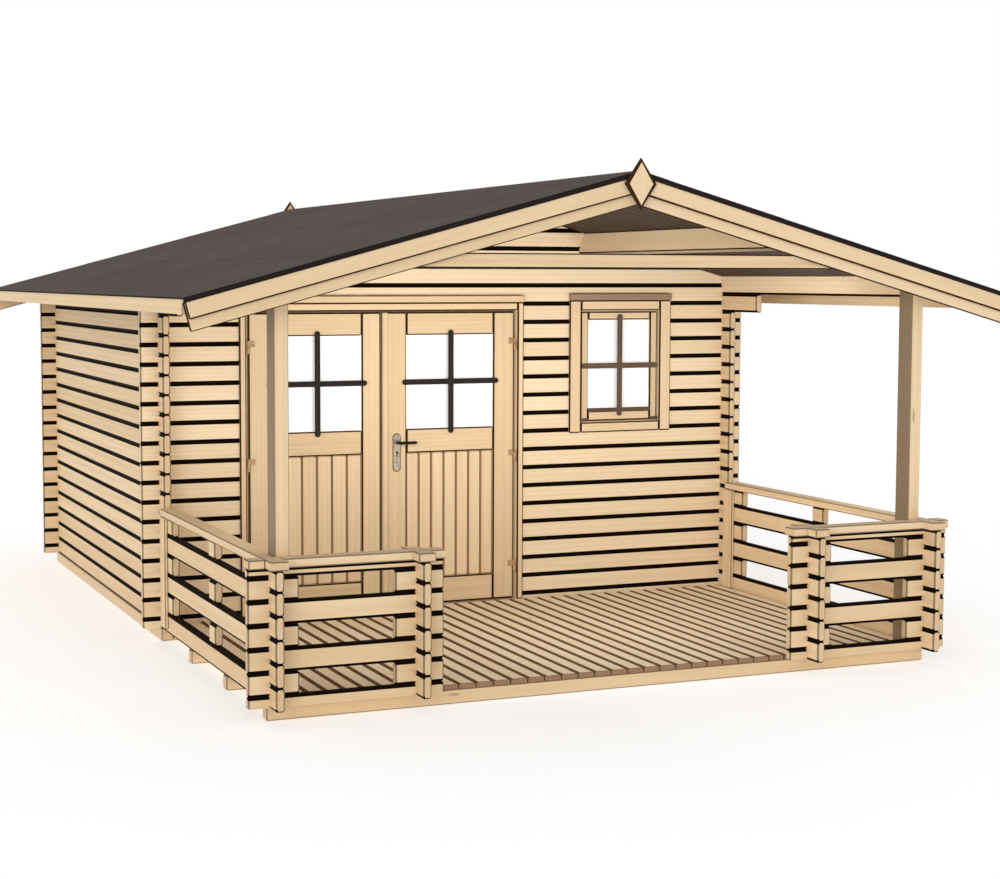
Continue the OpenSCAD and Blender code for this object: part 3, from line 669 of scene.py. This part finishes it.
def window_log(wall, za, zb, x0, x1):
    """A log of the right front wall, cut where it meets the window's hole."""
    around = 0.025
    hole_lo, hole_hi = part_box("window_sash")
    hole_x0, hole_x1 = hole_lo.x - around, hole_hi.x + around
    hole_z0, hole_z1 = hole_lo.z - around, hole_hi.z + around
    if zb <= hole_z0 or za >= hole_z1:
        cross_log(wall, Y_FRONT, za, zb, x0, x1)
        return
    cross_log(wall, Y_FRONT, za, zb, x0, hole_x0)
    cross_log(wall, Y_FRONT, za, zb, hole_x1, x1, same=True)
    if za < hole_z0:
        profile = log_profile(Y_FRONT, za, hole_z0, high=False)
        wall.along_x(profile, hole_x0, hole_x1, dark=LOW_JOINTS, same=True)
    if zb > hole_z1:
        profile = log_profile(Y_FRONT, hole_z1, zb, low=False)
        wall.along_x(profile, hole_x0, hole_x1, dark=HIGH_JOINTS, same=True)


def front_wall():
    """Logs left and right of the door, and the gable's logs over them."""
    door_x0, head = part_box("front_wall_left")[1].x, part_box("front_wall_left")[1].z
    door_x1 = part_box("front_wall_right")[0].x
    end = X_OUT + LOG_END
    left = Piece("front_wall_left_logs")
    right = Piece("front_wall_right_logs")
    gable = Piece("front_gable_logs")
    for za, zb in cross_heights():
        if zb > head + PLAY:
            cross_log(gable, Y_FRONT, za, zb, -end, end)
        else:
            cross_log(left, Y_FRONT, za, zb, -end, door_x0)
            window_log(right, za, zb, door_x1, end)
    gable_logs(gable, Y_FRONT)
    left.build(PAINTED_LIGHT_WOOD, "house", "log_wood", "front_wall_left")
    right.build(PAINTED_LIGHT_WOOD, "house", "log_wood", "front_wall_right")
    gable.build(PAINTED_LIGHT_WOOD, "house", "log_wood", "front_gable")


# Roof timber

def roof_run():
    """Front and rear end of the plates and purlins."""
    lo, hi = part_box("ridge_purlin")
    return lo.y, hi.y


def wall_plate(name, side):
    """The beam on a side wall, with its top cut to the slope."""
    y0, y1 = roof_run()
    shoulder = Z_PLATE + GROOVE_H
    profile = [(-X_OUT + GROOVE_D, Z_PLATE), (-X_IN - GROOVE_D, Z_PLATE), (-X_IN, shoulder),
               (-X_IN, under(X_IN)), (-X_OUT, under(X_OUT)), (-X_OUT, shoulder)]
    plate = Piece(name + "_beam", side)
    plate.along_y(profile, y0, y1, dark=(0, 1, 5))
    plate.build(PAINTED_LIGHT_WOOD, "house", "log_wood", name)


def ridge_purlin():
    y0, y1 = roof_run()
    x, bottom = PURLIN_WIDE / 2, under(0) - PURLIN_DEEP
    profile = [(-x, bottom), (x, bottom), (x, under(x)), (0, under(0)), (-x, under(x))]
    ridge = Piece("ridge_beam")
    ridge.along_y(profile, y0, y1)
    ridge.build(PAINTED_LIGHT_WOOD, "house", "log_wood", "ridge_purlin")


def intermediate_purlins():
    """Purlins square to the slope, with dark lower edges and a brown underside, both painted shade."""
    y0, y1 = roof_run()
    from_wall = 1.012
    down = (X_IN - from_wall) / COS
    profile = rect(down, down + PURLIN_WIDE, -PURLIN_DEEP, 0, BEAM_BEVEL)
    purlins = Piece("intermediate_beams")
    for side in (-1, 1):
        purlins.side = side
        purlins.purlin(profile, y0, y1, dark=(1, 7), edges=(0,) + CORNERS, bevel=BEAM_BEVEL)
    purlins.build(PAINTED_LIGHT_WOOD, "house", "log_wood", "intermediate_purlins")


def tie_reach(u, v):
    """Half length of the tie beam under the roof boards."""
    play = 0.002
    return X_IN - (v + play - Z_TOP) / TAN


def tie_beam():
    lo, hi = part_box("tie_beam")
    tie = Piece("tie_beam_board")
    # Front edges and caps painted dark as shade lines.
    tie.across(rect(lo.y, hi.y, lo.z, hi.z, BEAM_BEVEL), tie_reach, dark=FRONT_SHADE_EDGES["X"],
               bevel=BEAM_BEVEL, sealed=True)
    tie.build(LOG_WOOD, "house", "log_wood", "tie_beam")


def terrace_posts():
    """Posts with pale fronts and sides toned brown as painted shade."""
    lo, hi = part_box("terrace_posts")
    bevel = 0.004
    posts = Piece("terrace_post_beams")
    for side in (-1, 1):
        posts.side = side
        posts.board((hi.x - POST_WIDE, lo.y, lo.z), (hi.x, hi.y, hi.z), "Z", bevel=bevel,
                    edges=CORNERS + (2, 6))
    posts.build(TRIM_WOOD, "house", "log_wood", "terrace_posts")


def roof_boards(name, side):
    lo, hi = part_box("right_roof_boards")
    count = 54
    wide = (hi.y - lo.y) / count
    seam_sides = (1, 2, 6, 7)
    roof = Piece(name + "_single", side)
    for i in range(count):
        y = lo.y + i * wide
        profile = rect(y + PLAY, y + wide - PLAY, 0, ROOF_T, SMALL)
        roof.slope(profile, ridge_cut, plumb_cut(X_BOARD), dark=seam_sides, bevel=FINE)
    roof.build(PAINTED_SHADE_ROOF_WOOD, "house", "roof_wood", name)


def bargeboards(name, y_up, y_low):
    """Upper and lower boards of a gable, stepped, with a filling piece at the eaves."""
    upper_h, lower_h = 0.100, 0.138
    upper_end = (X_EAVE - RIDGE_GAP - ROOF_T * SIN) / COS
    lower_end = (X_EAVE - RIDGE_GAP) / COS
    upper = rect(y_up, y_up + BARGE_T, ROOF_T - upper_h, ROOF_T, FRONT_BEVEL)
    lower = rect(y_low, y_low + BARGE_T, -lower_h, 0, BARGE_BEVEL)
    rise = ROOF_T / COS
    filling = [(X_BOARD, under(X_BOARD)), (X_EAVE, under(X_EAVE)), (X_EAVE, under(X_EAVE) + rise),
               (X_BOARD, under(X_BOARD) + rise)]
    boards = Piece(name + "_single")
    for side in (-1, 1):
        boards.side = side
        for profile, stop in ((upper, upper_end), (lower, lower_end)):
            # Dark lower edges and ends: the seam under the upper board, and painted shade on the lower
            # board's edge and on both boards' ends.
            boards.slope(profile, ridge_cut, stop, dark=LOW_JOINTS, edges=CORNERS, bevel=BARGE_BEVEL,
                         sealed=True)
        boards.along_y(filling, y_low, y_low + BARGE_T, same=True)
    boards.build(TRIM_WOOD, "house", "trim_wood", name)


def diamonds():
    """Diamonds with a flat bevel and sides painted dark as shade lines, on the bargeboards at both ends of
    the ridge.
    """
    lo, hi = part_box("gable_diamonds")
    thick, bevel, depth = 0.020, 0.022, 0.006
    middle = (lo.z + hi.z) / 2
    outline = [(0, lo.z), (hi.x, middle), (0, hi.z), (lo.x, middle)]
    pair = Piece("gable_diamond_boards")
    for y in (lo.y, hi.y - thick):
        pair.along_y(outline, y, y + thick, grain=grain_along_v, bevel=bevel, depth=depth,
                     dark=(0, 1, 2, 3), ends=())
    pair.build(TRIM_WOOD, "house", "trim_wood", "gable_diamonds")


def eave_boards():
    lo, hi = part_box("eave_boards")
    outer_top = hi.z - (X_EAVE - X_BOARD) * TAN
    outline = [(X_BOARD, lo.z), (X_EAVE, lo.z), (X_EAVE, outer_top), (X_BOARD, hi.z)]
    boards = Piece("eave_board_pair")
    for side in (-1, 1):
        boards.side = side
        boards.along_y(outline, lo.y, hi.y)
    boards.build(TRIM_WOOD, "house", "trim_wood", "eave_boards")


def felt_laps():
    """Edges of the overlapping sheets of felt and of the strip over the ridge, with a darker felt at the
    laps as painted shade.
    """
    lo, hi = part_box("roof_felt")
    bottom = ROOF_T + FELT_T
    lap, seam = 0.0012, 0.006
    sheet_ends = (1.66, 0.86, 0.16)
    bevel = lap / 3
    laps = Piece("felt_laps")
    seams = Piece("felt_lap_seams")
    for side in (-1, 1):
        laps.side = seams.side = side
        for i, down in enumerate(sheet_ends):
            sheet = rect(lo.y, hi.y, bottom - lap, bottom + lap * (i + 1), bevel)
            laps.slope(sheet, ridge_cut, down, bevel=bevel)
            edge = rect(lo.y, hi.y, bottom - lap, bottom + lap * (i + 0.5), bevel)
            seams.slope(edge, down, down + seam, bevel=bevel)
    laps.build(FELT, "house", "felt")
    seams.build(PAINTED_SHADE_FELT_LAP, "house", "felt")


def felt_edges():
    """Lips of the felt along the bargeboards and the eaves, near black as painted shade."""
    lo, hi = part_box("roof_felt")
    drop, lip, eave_drop, proud = 0.020, 0.003, 0.004, 0.001
    bevel = proud / 4
    out = X_EAVE + lip
    low = under(X_EAVE) + ROOF_T / COS - eave_drop
    top = under(out) + (ROOF_T + FELT_T) / COS
    strips = Piece("felt_edge_strips")
    for side in (-1, 1):
        strips.side = side
        for y in (lo.y - proud, hi.y):
            profile = rect(y, y + proud, ROOF_T - drop, ROOF_T + FELT_T, bevel)
            strips.slope(profile, ridge_cut, plumb_cut(out), bevel=bevel)
        strips.along_y(rect(out, out + proud, low, top, bevel), lo.y, hi.y, bevel=bevel)
    strips.build(PAINTED_SHADE_FELT_EDGE, "house", "felt")


# Door

def drip_board(name, material, node):
    """The board over a casing that keeps the rain off."""
    lo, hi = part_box(node)
    board = Piece(name)
    board.board((lo.x, lo.y, hi.z - DRIP_H), (hi.x, Y_FRONT, hi.z), "X", bevel=DRIP_BEVEL)
    board.build(material, "house", "trim_wood")


def door_frame():
    """Jambs, head, sill and stops in the wall, and the casing in front of it."""
    back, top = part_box("door_frame")[1].y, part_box("door_frame")[1].z - DRIP_H
    left_leaf, right_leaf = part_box("left_door_leaf"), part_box("right_door_leaf")
    gap, jamb, stop = 0.007, 0.030, 0.014
    casing, casing_head, casing_off = 0.042, 0.050, 0.018
    x0, x1 = left_leaf[0].x - gap, right_leaf[1].x + gap
    z_sill, z_head = left_leaf[0].z - gap, left_leaf[1].z + gap
    z_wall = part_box("front_wall_left")[1].z - PLAY
    stop_y = left_leaf[1].y + gap
    boards = Piece("door_frame_boards")
    for a, b in ((x0 - jamb, x0), (x1, x1 + jamb)):
        boards.board((a, Y_FRONT, Z_BASE), (b, back, z_wall), "Z")
    boards.board((x0, Y_FRONT, z_head), (x1, back, z_wall), "X")
    boards.board((x0, Y_FRONT, Z_BASE), (x1, back, z_sill), "X")
    for a, b in ((x0, x0 + stop), (x1 - stop, x1)):
        boards.board((a, stop_y, z_sill), (b, back, z_head), "Z")
    boards.board((x0 + stop, stop_y, z_head - stop), (x1 - stop, back, z_head), "X")
    left, right = left_leaf[0].x - casing_off, right_leaf[1].x + casing_off
    face = Y_FRONT - CASING_T
    for a, b in ((left - casing, left), (right, right + casing)):
        boards.board((a, face, Z_DECK), (b, Y_FRONT, top), "Z", front=True)
    boards.board((left, face, top - casing_head), (right, Y_FRONT, top), "X", front=True)
    boards.build(TRIM_WOOD, "house", "trim_wood", "door_frame")


def glazing_bars(name, material, body, pane, y, laps=(0.0, 0.0, 0.0), drop=0.0):
    """Crossed bars with round ends that lap on the frame, by lengths at the sides, below and above.

    The bar across lies below the pane's middle by the drop.
    """
    x0, x1, z0, z1 = pane
    across, below, above = laps
    xm, zm = (x0 + x1) / 2, (z0 + z1) / 2 - drop
    w, thick, proud = 0.0165, 0.013, 0.001
    bars = Piece(name)
    lying = [(x, zm + z) for x, z in round_ended(x0 - across, x1 + across, w)]
    bars.along_y(lying, y - thick, y, bevel=SMALL, grain=grain_along_u, ends=())
    standing = [(xm + x, z) for z, x in round_ended(z0 - below, z1 + above, w)]
    bars.along_y(standing, y - thick - proud, y - proud, bevel=SMALL, grain=grain_along_v, ends=())
    bars.build(material, body, "joinery_wood")


def leaf_field(name, body, xa, xb, y0, y1, za, zb, count):
    """Upright boards in the lower field of a leaf."""
    wide = (xb - xa) / count
    field = Piece(name)
    for i in range(count):
        x = xa + i * wide
        field.board((x + PLAY, y0, za), (x + wide - PLAY, y1, zb), "Z", bevel=FIELD_BEVEL, dark=CORNERS)
    field.build(FIELD_WOOD, body, "joinery_wood")


def door_leaf(hand, left_stile, right_stile, boards, cover=0.0):
    """A leaf of stiles and rails, a boarded field, glazing bars and, on one leaf, a cover strip."""
    node, body = hand + "_door_leaf", hand + "_leaf"
    lo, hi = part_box(node)
    top_h, low_h, mid_z, mid_h, field_t = 0.138, 0.160, 0.937, 0.147, 0.018
    bar_laps = (0.030, 0.032, 0.030)
    y0, y1 = Y_FRONT, hi.y
    xa, xb = lo.x + left_stile, hi.x - right_stile
    field_z, mid_low, mid_top, glass_top = lo.z + low_h, lo.z + mid_z, lo.z + mid_z + mid_h, hi.z - top_h
    leaf = Piece(hand + "_leaf_boards")
    leaf.board((lo.x, y0, lo.z), (xa, y1, hi.z), "Z", front=True)
    leaf.board((xb, y0, lo.z), (hi.x, y1, hi.z), "Z", front=True)
    for za, zb in ((lo.z, field_z), (mid_low, mid_top), (glass_top, hi.z)):
        leaf.board((xa, y0, za), (xb, y1, zb), "X", front=True)
    inset_y = (y1 - y0 - field_t) / 2
    leaf_field(hand + "_leaf_field", body, xa, xb, y0 + inset_y, y1 - inset_y, field_z, mid_low, boards)
    if cover:
        leaf.board((lo.x, lo.y, lo.z), (lo.x + cover, y0, hi.z), "Z", bevel=SMALL)
    leaf.build(JOINERY_WOOD, body, "joinery_wood", node)
    pane = (xa, xb, mid_top, glass_top)
    glazing_bars(hand + "_leaf_bars", BAR_DARK, body, pane, Y_FRONT, bar_laps)
    glazing_bars(hand + "_leaf_inner_bars", BAR_DARK, body, pane, y1)


def lock_plate():
    """A plate with round ends on a dark rim."""
    lo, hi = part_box("door_lock_plate")
    xm, r = (lo.x + hi.x) / 2, (hi.x - lo.x) / 2
    steps, rim, rim_t, rim_bevel = 14, 0.004, 0.002, 0.0005
    turns = [math.pi * i / steps for i in range(steps + 1)]
    outline = [(xm + r * math.cos(t), hi.z - r + r * math.sin(t)) for t in turns]
    outline += [(xm - r * math.cos(t), lo.z + r - r * math.sin(t)) for t in turns]
    plate = Piece("lock_plate")
    plate.along_y(outline, lo.y, hi.y, bevel=FINE)
    plate.build(PALE_STEEL, "right_leaf", "steel", "door_lock_plate")
    gasket = Piece("lock_plate_gasket")
    gasket.along_y(inset(outline, -rim), hi.y - rim_t, hi.y, bevel=rim_bevel)
    gasket.build(BLACK_STEEL, "right_leaf", "steel")


def keyhole():
    """A dark keyhole in the lock plate, below the lever."""
    lo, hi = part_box("door_lock_plate")
    bore, slot_w, slot_h, drop, proud, bevel = 0.0075, 0.0035, 0.026, 0.112, 0.0004, 0.0001
    xm, z = (lo.x + hi.x) / 2, hi.z - drop
    steps, start, sweep = 14, -60, 300
    turns = [math.radians(start + sweep * i / steps) for i in range(steps + 1)]
    outline = [(xm + bore * math.cos(t), z + bore * math.sin(t)) for t in turns]
    outline += [(xm - slot_w, z - slot_h), (xm + slot_w, z - slot_h)]
    key = Piece("keyhole")
    key.along_y(outline, lo.y - proud, lo.y + proud, bevel=bevel)
    key.build(BLACK_STEEL, "right_leaf", "steel")


def door():
    door_frame()
    drip_board("door_drip_board", TRIM_WOOD, "door_frame")
    door_leaf("left", left_stile=0.140, right_stile=0.120, boards=6)
    door_leaf("right", left_stile=0.162, right_stile=0.140, boards=7, cover=0.036)
    lock_plate()
    keyhole()


# Window

def window_frame():
    """Frame in the wall and casing in front of it."""
    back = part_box("window_frame")[1].y
    lo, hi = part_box("window_sash")
    gap, frame_t, casing, head, off = 0.0005, 0.024, 0.082, 0.064, 0.008
    x0, x1, z0, z1 = lo.x - gap, hi.x + gap, lo.z - gap, hi.z + gap
    boards = Piece("window_frame_boards")
    for a, b in ((x0 - frame_t, x0), (x1, x1 + frame_t)):
        boards.board((a, Y_FRONT, z0 - frame_t), (b, back, z1 + frame_t), "Z")
    for a, b in ((z0 - frame_t, z0), (z1, z1 + frame_t)):
        boards.board((x0, Y_FRONT, a), (x1, back, b), "X")
    x0, x1, z0, z1 = lo.x - off, hi.x + off, lo.z - off, hi.z + off
    face = Y_FRONT - CASING_T
    for a, b in ((x0 - casing, x0), (x1, x1 + casing)):
        boards.board((a, face, z0 - head), (b, Y_FRONT, z1 + head), "Z", front=True)
    for a, b in ((z0 - head, z0), (z1, z1 + head)):
        boards.board((x0, face, a), (x1, Y_FRONT, b), "X", front=True)
    boards.build(TRIM_WOOD, "house", "trim_wood", "window_frame")


def window_sash():
    """The sash with its glazing bars, weather bar and two stops at its foot."""
    lo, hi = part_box("window_sash")
    member, low_h = 0.052, 0.080
    bar_laps, bar_drop = (0.050, 0.052, 0.036), 0.011
    bar_h, bar_t = 0.026, 0.010
    stop_w, stop_h, stop_t, past = 0.050, 0.018, 0.012, 0.006
    x0, x1, z0, z1 = lo.x + member, hi.x - member, lo.z + low_h, hi.z - member
    sash = Piece("window_sash_boards")
    for a, b in ((lo.x, x0), (x1, hi.x)):
        sash.board((a, lo.y, lo.z), (b, hi.y, hi.z), "Z", front=True)
    for a, b in ((lo.z, z0), (z1, hi.z)):
        sash.board((x0, lo.y, a), (x1, hi.y, b), "X", front=True)
    sash.build(JOINERY_WOOD, "house", "joinery_wood", "window_sash")
    glazing_bars("window_bars", BAR_BROWN, "house", (x0, x1, z0, z1), lo.y, bar_laps, bar_drop)
    # The weather bar under the glass is dark brown: the bars' colour, and painted shade below the glass.
    trim = Piece("window_weather_bar")
    trim.board((x0, lo.y - bar_t, z0 - bar_h), (x1, lo.y, z0), "X", bevel=DRIP_BEVEL)
    for a, b in ((lo.x - past, lo.x + stop_w), (hi.x - stop_w, hi.x + past)):
        trim.board((a, lo.y - stop_t, lo.z), (b, lo.y, lo.z + stop_h), "X", bevel=SMALL)
    trim.build(BAR_BROWN, "house", "joinery_wood")


def window():
    window_frame()
    drip_board("window_drip_board", PAINTED_SHADE_DRIP_WOOD, "window_frame")
    window_sash()


# Railing

def side_railing(name, side):
    """Long logs with short blocks between them, at the wall, in the middle and at the corner."""
    wall_block, mid_block, mid_y = 0.180, 0.115, 1.080
    y_wall = Y_FRONT - LOG_END - PLAY
    y_mid = Y_FRONT - mid_y
    y_end = Y_RAIL - LOG_END
    blocks = ((y_wall - wall_block, y_wall), (y_mid - mid_block, y_mid), (y_end, Y_RAIL + LOG_T + LOG_END))
    rail = Piece(name + "_side_logs", side)
    for k in (0, 2, 4):
        side_log(rail, -X_OUT, whole(k), whole(k + 1), y_end, y_wall)
    for za, zb in ((whole(1), whole(2)), (whole(3), whole(4)), (whole(5), Z_RAIL)):
        for y0, y1 in blocks:
            side_log(rail, -X_OUT, za, zb, y0, y1)
    rail.build(LOG_WOOD, "house", "log_wood", name + "_side_railing")


def front_railing(name, side):
    """Long and short cross logs, and the stack of log ends beside the entry."""
    x_end = -X_OUT - LOG_END
    rail = Piece(name + "_front_logs", side)
    for za, zb in ((Z_BASE, half(0)), (half(1), half(2)), (half(3), half(4)), (half(5), Z_RAIL)):
        cross_log(rail, Y_RAIL, za, zb, x_end, X_RETURN)
    for k in (0, 2, 4):
        for x0, x1 in ((x_end, -X_IN + LOG_END), (X_STACK - LOG_END, X_RETURN)):
            cross_log(rail, Y_RAIL, half(k), half(k + 1), x0, x1)
    for k in range(6):
        top = min(whole(k + 1), Z_RAIL)
        side_log(rail, X_STACK, whole(k), top, Y_RAIL - LOG_END, Y_RAIL + LOG_T + LOG_END)
    rail.build(LOG_WOOD, "house", "log_wood", name + "_front_railing")


def handrail(name, side):
    """Rails over the side and front logs, notched at the post, and short pieces over the log ends."""
    lo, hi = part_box(name)
    wide = 0.090
    over = (wide - LOG_T) / 2
    clear = over + PLAY
    back = Y_RAIL + LOG_T
    y_end, y_wall = Y_RAIL - LOG_END, Y_FRONT - LOG_END - PLAY
    x0, x1 = -X_OUT - over, -X_IN + over
    post_lo, post_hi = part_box("terrace_posts")
    notch_y = post_lo.y + POST_DEEP + PLAY
    notch_x = -post_hi.x + POST_WIDE + PLAY
    rail = Piece(name + "_boards", side)
    plan = [(x0, y_end), (x1, y_end), (x1, back), (-X_IN, back),
            (-X_IN, notch_y), (x1, notch_y), (x1, y_wall), (x0, y_wall)]
    rail.along_z(plan, lo.z, hi.z, bevel=BEAM_BEVEL, grain=grain_along_v, ends=(0, 6))
    start = -X_IN + clear
    plan = [(start, Y_RAIL - over), (X_RETURN, Y_RAIL - over), (X_RETURN, back + over),
            (notch_x, back + over), (notch_x, back), (start, back)]
    rail.along_z(plan, lo.z, hi.z, bevel=BEAM_BEVEL, grain=grain_along_u, ends=(1,))
    rail.board((-X_OUT - LOG_END, Y_RAIL - over, lo.z), (-X_OUT - clear, back + over, hi.z), "X",
               bevel=BEAM_BEVEL)
    for y0, y1 in ((y_end, Y_RAIL - clear), (back + clear, back + LOG_END)):
        rail.board((X_STACK - over, y0, lo.z), (X_STACK + LOG_T + over, y1, hi.z), "Y", bevel=BEAM_BEVEL)
    rail.build(TRIM_WOOD, "house", "trim_wood", name)


def battens():
    """Upright boards on both faces, where the side railings meet the house's log ends."""
    lo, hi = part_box("railing_battens")
    thick = 0.020
    boards = Piece("railing_batten_boards")
    for side in (-1, 1):
        boards.side = side
        for x in (-X_OUT - thick, -X_IN):
            boards.board((x, lo.y, lo.z), (x + thick, hi.y, hi.z), "Z", bevel=BARGE_BEVEL)
    boards.build(TRIM_WOOD, "house", "trim_wood", "railing_battens")


def finish_frame_nodes():
    """Materials of the nodes that stay as they are."""
    finishes = {"roof_felt": FELT, "left_door_glass": PAINTED_SKY_GLASS, "right_door_glass": PAINTED_SKY_GLASS,
                "window_glass": PAINTED_SKY_GLASS, "door_frame_hinges": BRASS, "left_leaf_hinges": BRASS,
                "right_leaf_hinges": BRASS, "door_lever": BLACK_STEEL}
    for name, material in finishes.items():
        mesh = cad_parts[name].data
        mesh.materials.clear()
        mesh.materials.append(material)


# Stage, light and camera

def stage():
    """A plain pale floor, bright enough to run into the background."""
    half_size, grey, glow = 60.0, 0.9, 0.42
    corners = [(x * half_size, y * half_size, 0) for x, y in ((-1, -1), (1, -1), (1, 1), (-1, 1))]
    mesh = bpy.data.meshes.new("floor")
    mesh.from_pydata(corners, [], [(0, 1, 2, 3)])
    floor = bpy.data.objects.new("floor", mesh)
    bpy.context.collection.objects.link(floor)
    n = Nodes("pale_floor")
    n.set(Base_Color=(grey, grey, grey, 1), Roughness=1.0, Specular_IOR_Level=0.0,
          Emission_Color=WHITE, Emission_Strength=glow)
    mesh.materials.append(n.material)


def sky():
    """An even white sky, softer as a light than it looks behind the house."""
    fill_strength = 0.62
    world = bpy.data.worlds.new("studio")
    world.use_nodes = True
    tree = world.node_tree
    fill = tree.nodes["Background"]
    fill.inputs["Color"].default_value = WHITE
    fill.inputs["Strength"].default_value = fill_strength
    backdrop = tree.nodes.new("ShaderNodeBackground")
    backdrop.inputs["Color"].default_value = WHITE
    mix = tree.nodes.new("ShaderNodeMixShader")
    path = tree.nodes.new("ShaderNodeLightPath")
    tree.links.new(path.outputs["Is Camera Ray"], mix.inputs[0])
    tree.links.new(fill.outputs[0], mix.inputs[1])
    tree.links.new(backdrop.outputs[0], mix.inputs[2])
    tree.links.new(mix.outputs[0], tree.nodes["World Output"].inputs["Surface"])
    bpy.context.scene.world = world
    bpy.context.scene.view_settings.view_transform = "Standard"


def lamp(name, kind, energy, place, way):
    """A lamp at a place that shines along a direction."""
    light = bpy.data.lights.new(name, kind)
    light.energy = energy
    holder = bpy.data.objects.new(name, light)
    bpy.context.collection.objects.link(holder)
    holder.location = place
    holder.rotation_euler = Vector(way).to_track_quat("-Z", "Y").to_euler()
    return holder


def key_light():
    """A low soft sun from the front left."""
    energy, height, softness = 0.85, 4, math.radians(35)
    azimuth, elevation = math.radians(-45), math.radians(12)
    way = (-math.sin(azimuth) * math.cos(elevation), math.cos(azimuth) * math.cos(elevation),
           -math.sin(elevation))
    sun = lamp("key", "SUN", energy, (0, 0, height), way)
    sun.data.angle = softness


def fill_lights():
    """Soft lamps under the roof, so that the terrace is as bright as in the photograph."""
    depth, broad, narrow = 0.7, 3.8, 0.93
    # Name, power, width, place and direction of each
    fills = (("terrace_fill", 16.5, broad, (0, Y_RAIL + 0.35, 1.55), (0, 0.90, -0.43)),
             ("gable_fill", 11.0, broad, (0, Y_RAIL + 0.75, 1.45), (0, 0.55, 0.83)),
             ("side_fill", 14.0, narrow, (-1.275, Y_RAIL + 0.65, 1.45), (0.85, 0.0, 0.53)))
    for name, energy, wide, place, way in fills:
        fill = lamp(name, "AREA", energy, place, way)
        fill.data.shape = "RECTANGLE"
        fill.data.size, fill.data.size_y = wide, depth
        fill.visible_camera = False
        fill.visible_glossy = False


def camera():
    """The photograph's camera, fitted to the log joints and roof edges."""
    place = Vector((-4.3976, -11.0286, 2.1146))
    yaw, pitch, roll = 0.3926, -0.0771, 0.0016
    focal_px, width_px, height_px = 1839.58, 1000, 879
    middle_x, middle_y = 450, 420
    sensor = 36.0
    ahead = Vector((math.sin(yaw) * math.cos(pitch), math.cos(yaw) * math.cos(pitch), math.sin(pitch)))
    level = Vector((math.cos(yaw), -math.sin(yaw), 0))
    upright = level.cross(ahead)
    right = level * math.cos(roll) + upright * math.sin(roll)
    up = upright * math.cos(roll) - level * math.sin(roll)
    data = bpy.data.cameras.new("photo_camera")
    data.sensor_fit = "HORIZONTAL"
    data.sensor_width = sensor
    data.lens = focal_px / width_px * sensor
    data.shift_x = (width_px / 2 - middle_x) / width_px
    data.shift_y = (middle_y - height_px / 2) / width_px
    view = bpy.data.objects.new("photo_camera", data)
    bpy.context.collection.objects.link(view)
    turn = Matrix((right, up, -ahead)).transposed().to_4x4()
    view.matrix_world = Matrix.Translation(place) @ turn
    bpy.context.scene.camera = view


def roof():
    """What carries the roof, its boards and their trim, and the felt's laps and edges."""
    wall_plate("left_wall_plate", 1)
    wall_plate("right_wall_plate", -1)
    ridge_purlin()
    intermediate_purlins()
    tie_beam()
    terrace_posts()
    roof_boards("left_roof_boards", -1)
    roof_boards("right_roof_boards", 1)
    front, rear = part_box("right_roof_boards")[0].y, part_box("right_roof_boards")[1].y
    bargeboards("front_bargeboards", y_up=front - BARGE_T, y_low=front)
    bargeboards("rear_bargeboards", y_up=rear, y_low=rear - BARGE_T)
    diamonds()
    eave_boards()
    felt_laps()
    felt_edges()


foundation()
terrace_joists()
floor_boards()
deck_boards()
side_wall("left_wall", 1)
side_wall("right_wall", -1)
rear_wall()
front_wall()
roof()
door()
window()
for hand, side in (("left", 1), ("right", -1)):
    side_railing(hand, side)
    front_railing(hand, side)
handrail("left_handrail", 1)
handrail("right_handrail", -1)
battens()
finish_frame_nodes()
stage()
sky()
key_light()
fill_lights()
camera()
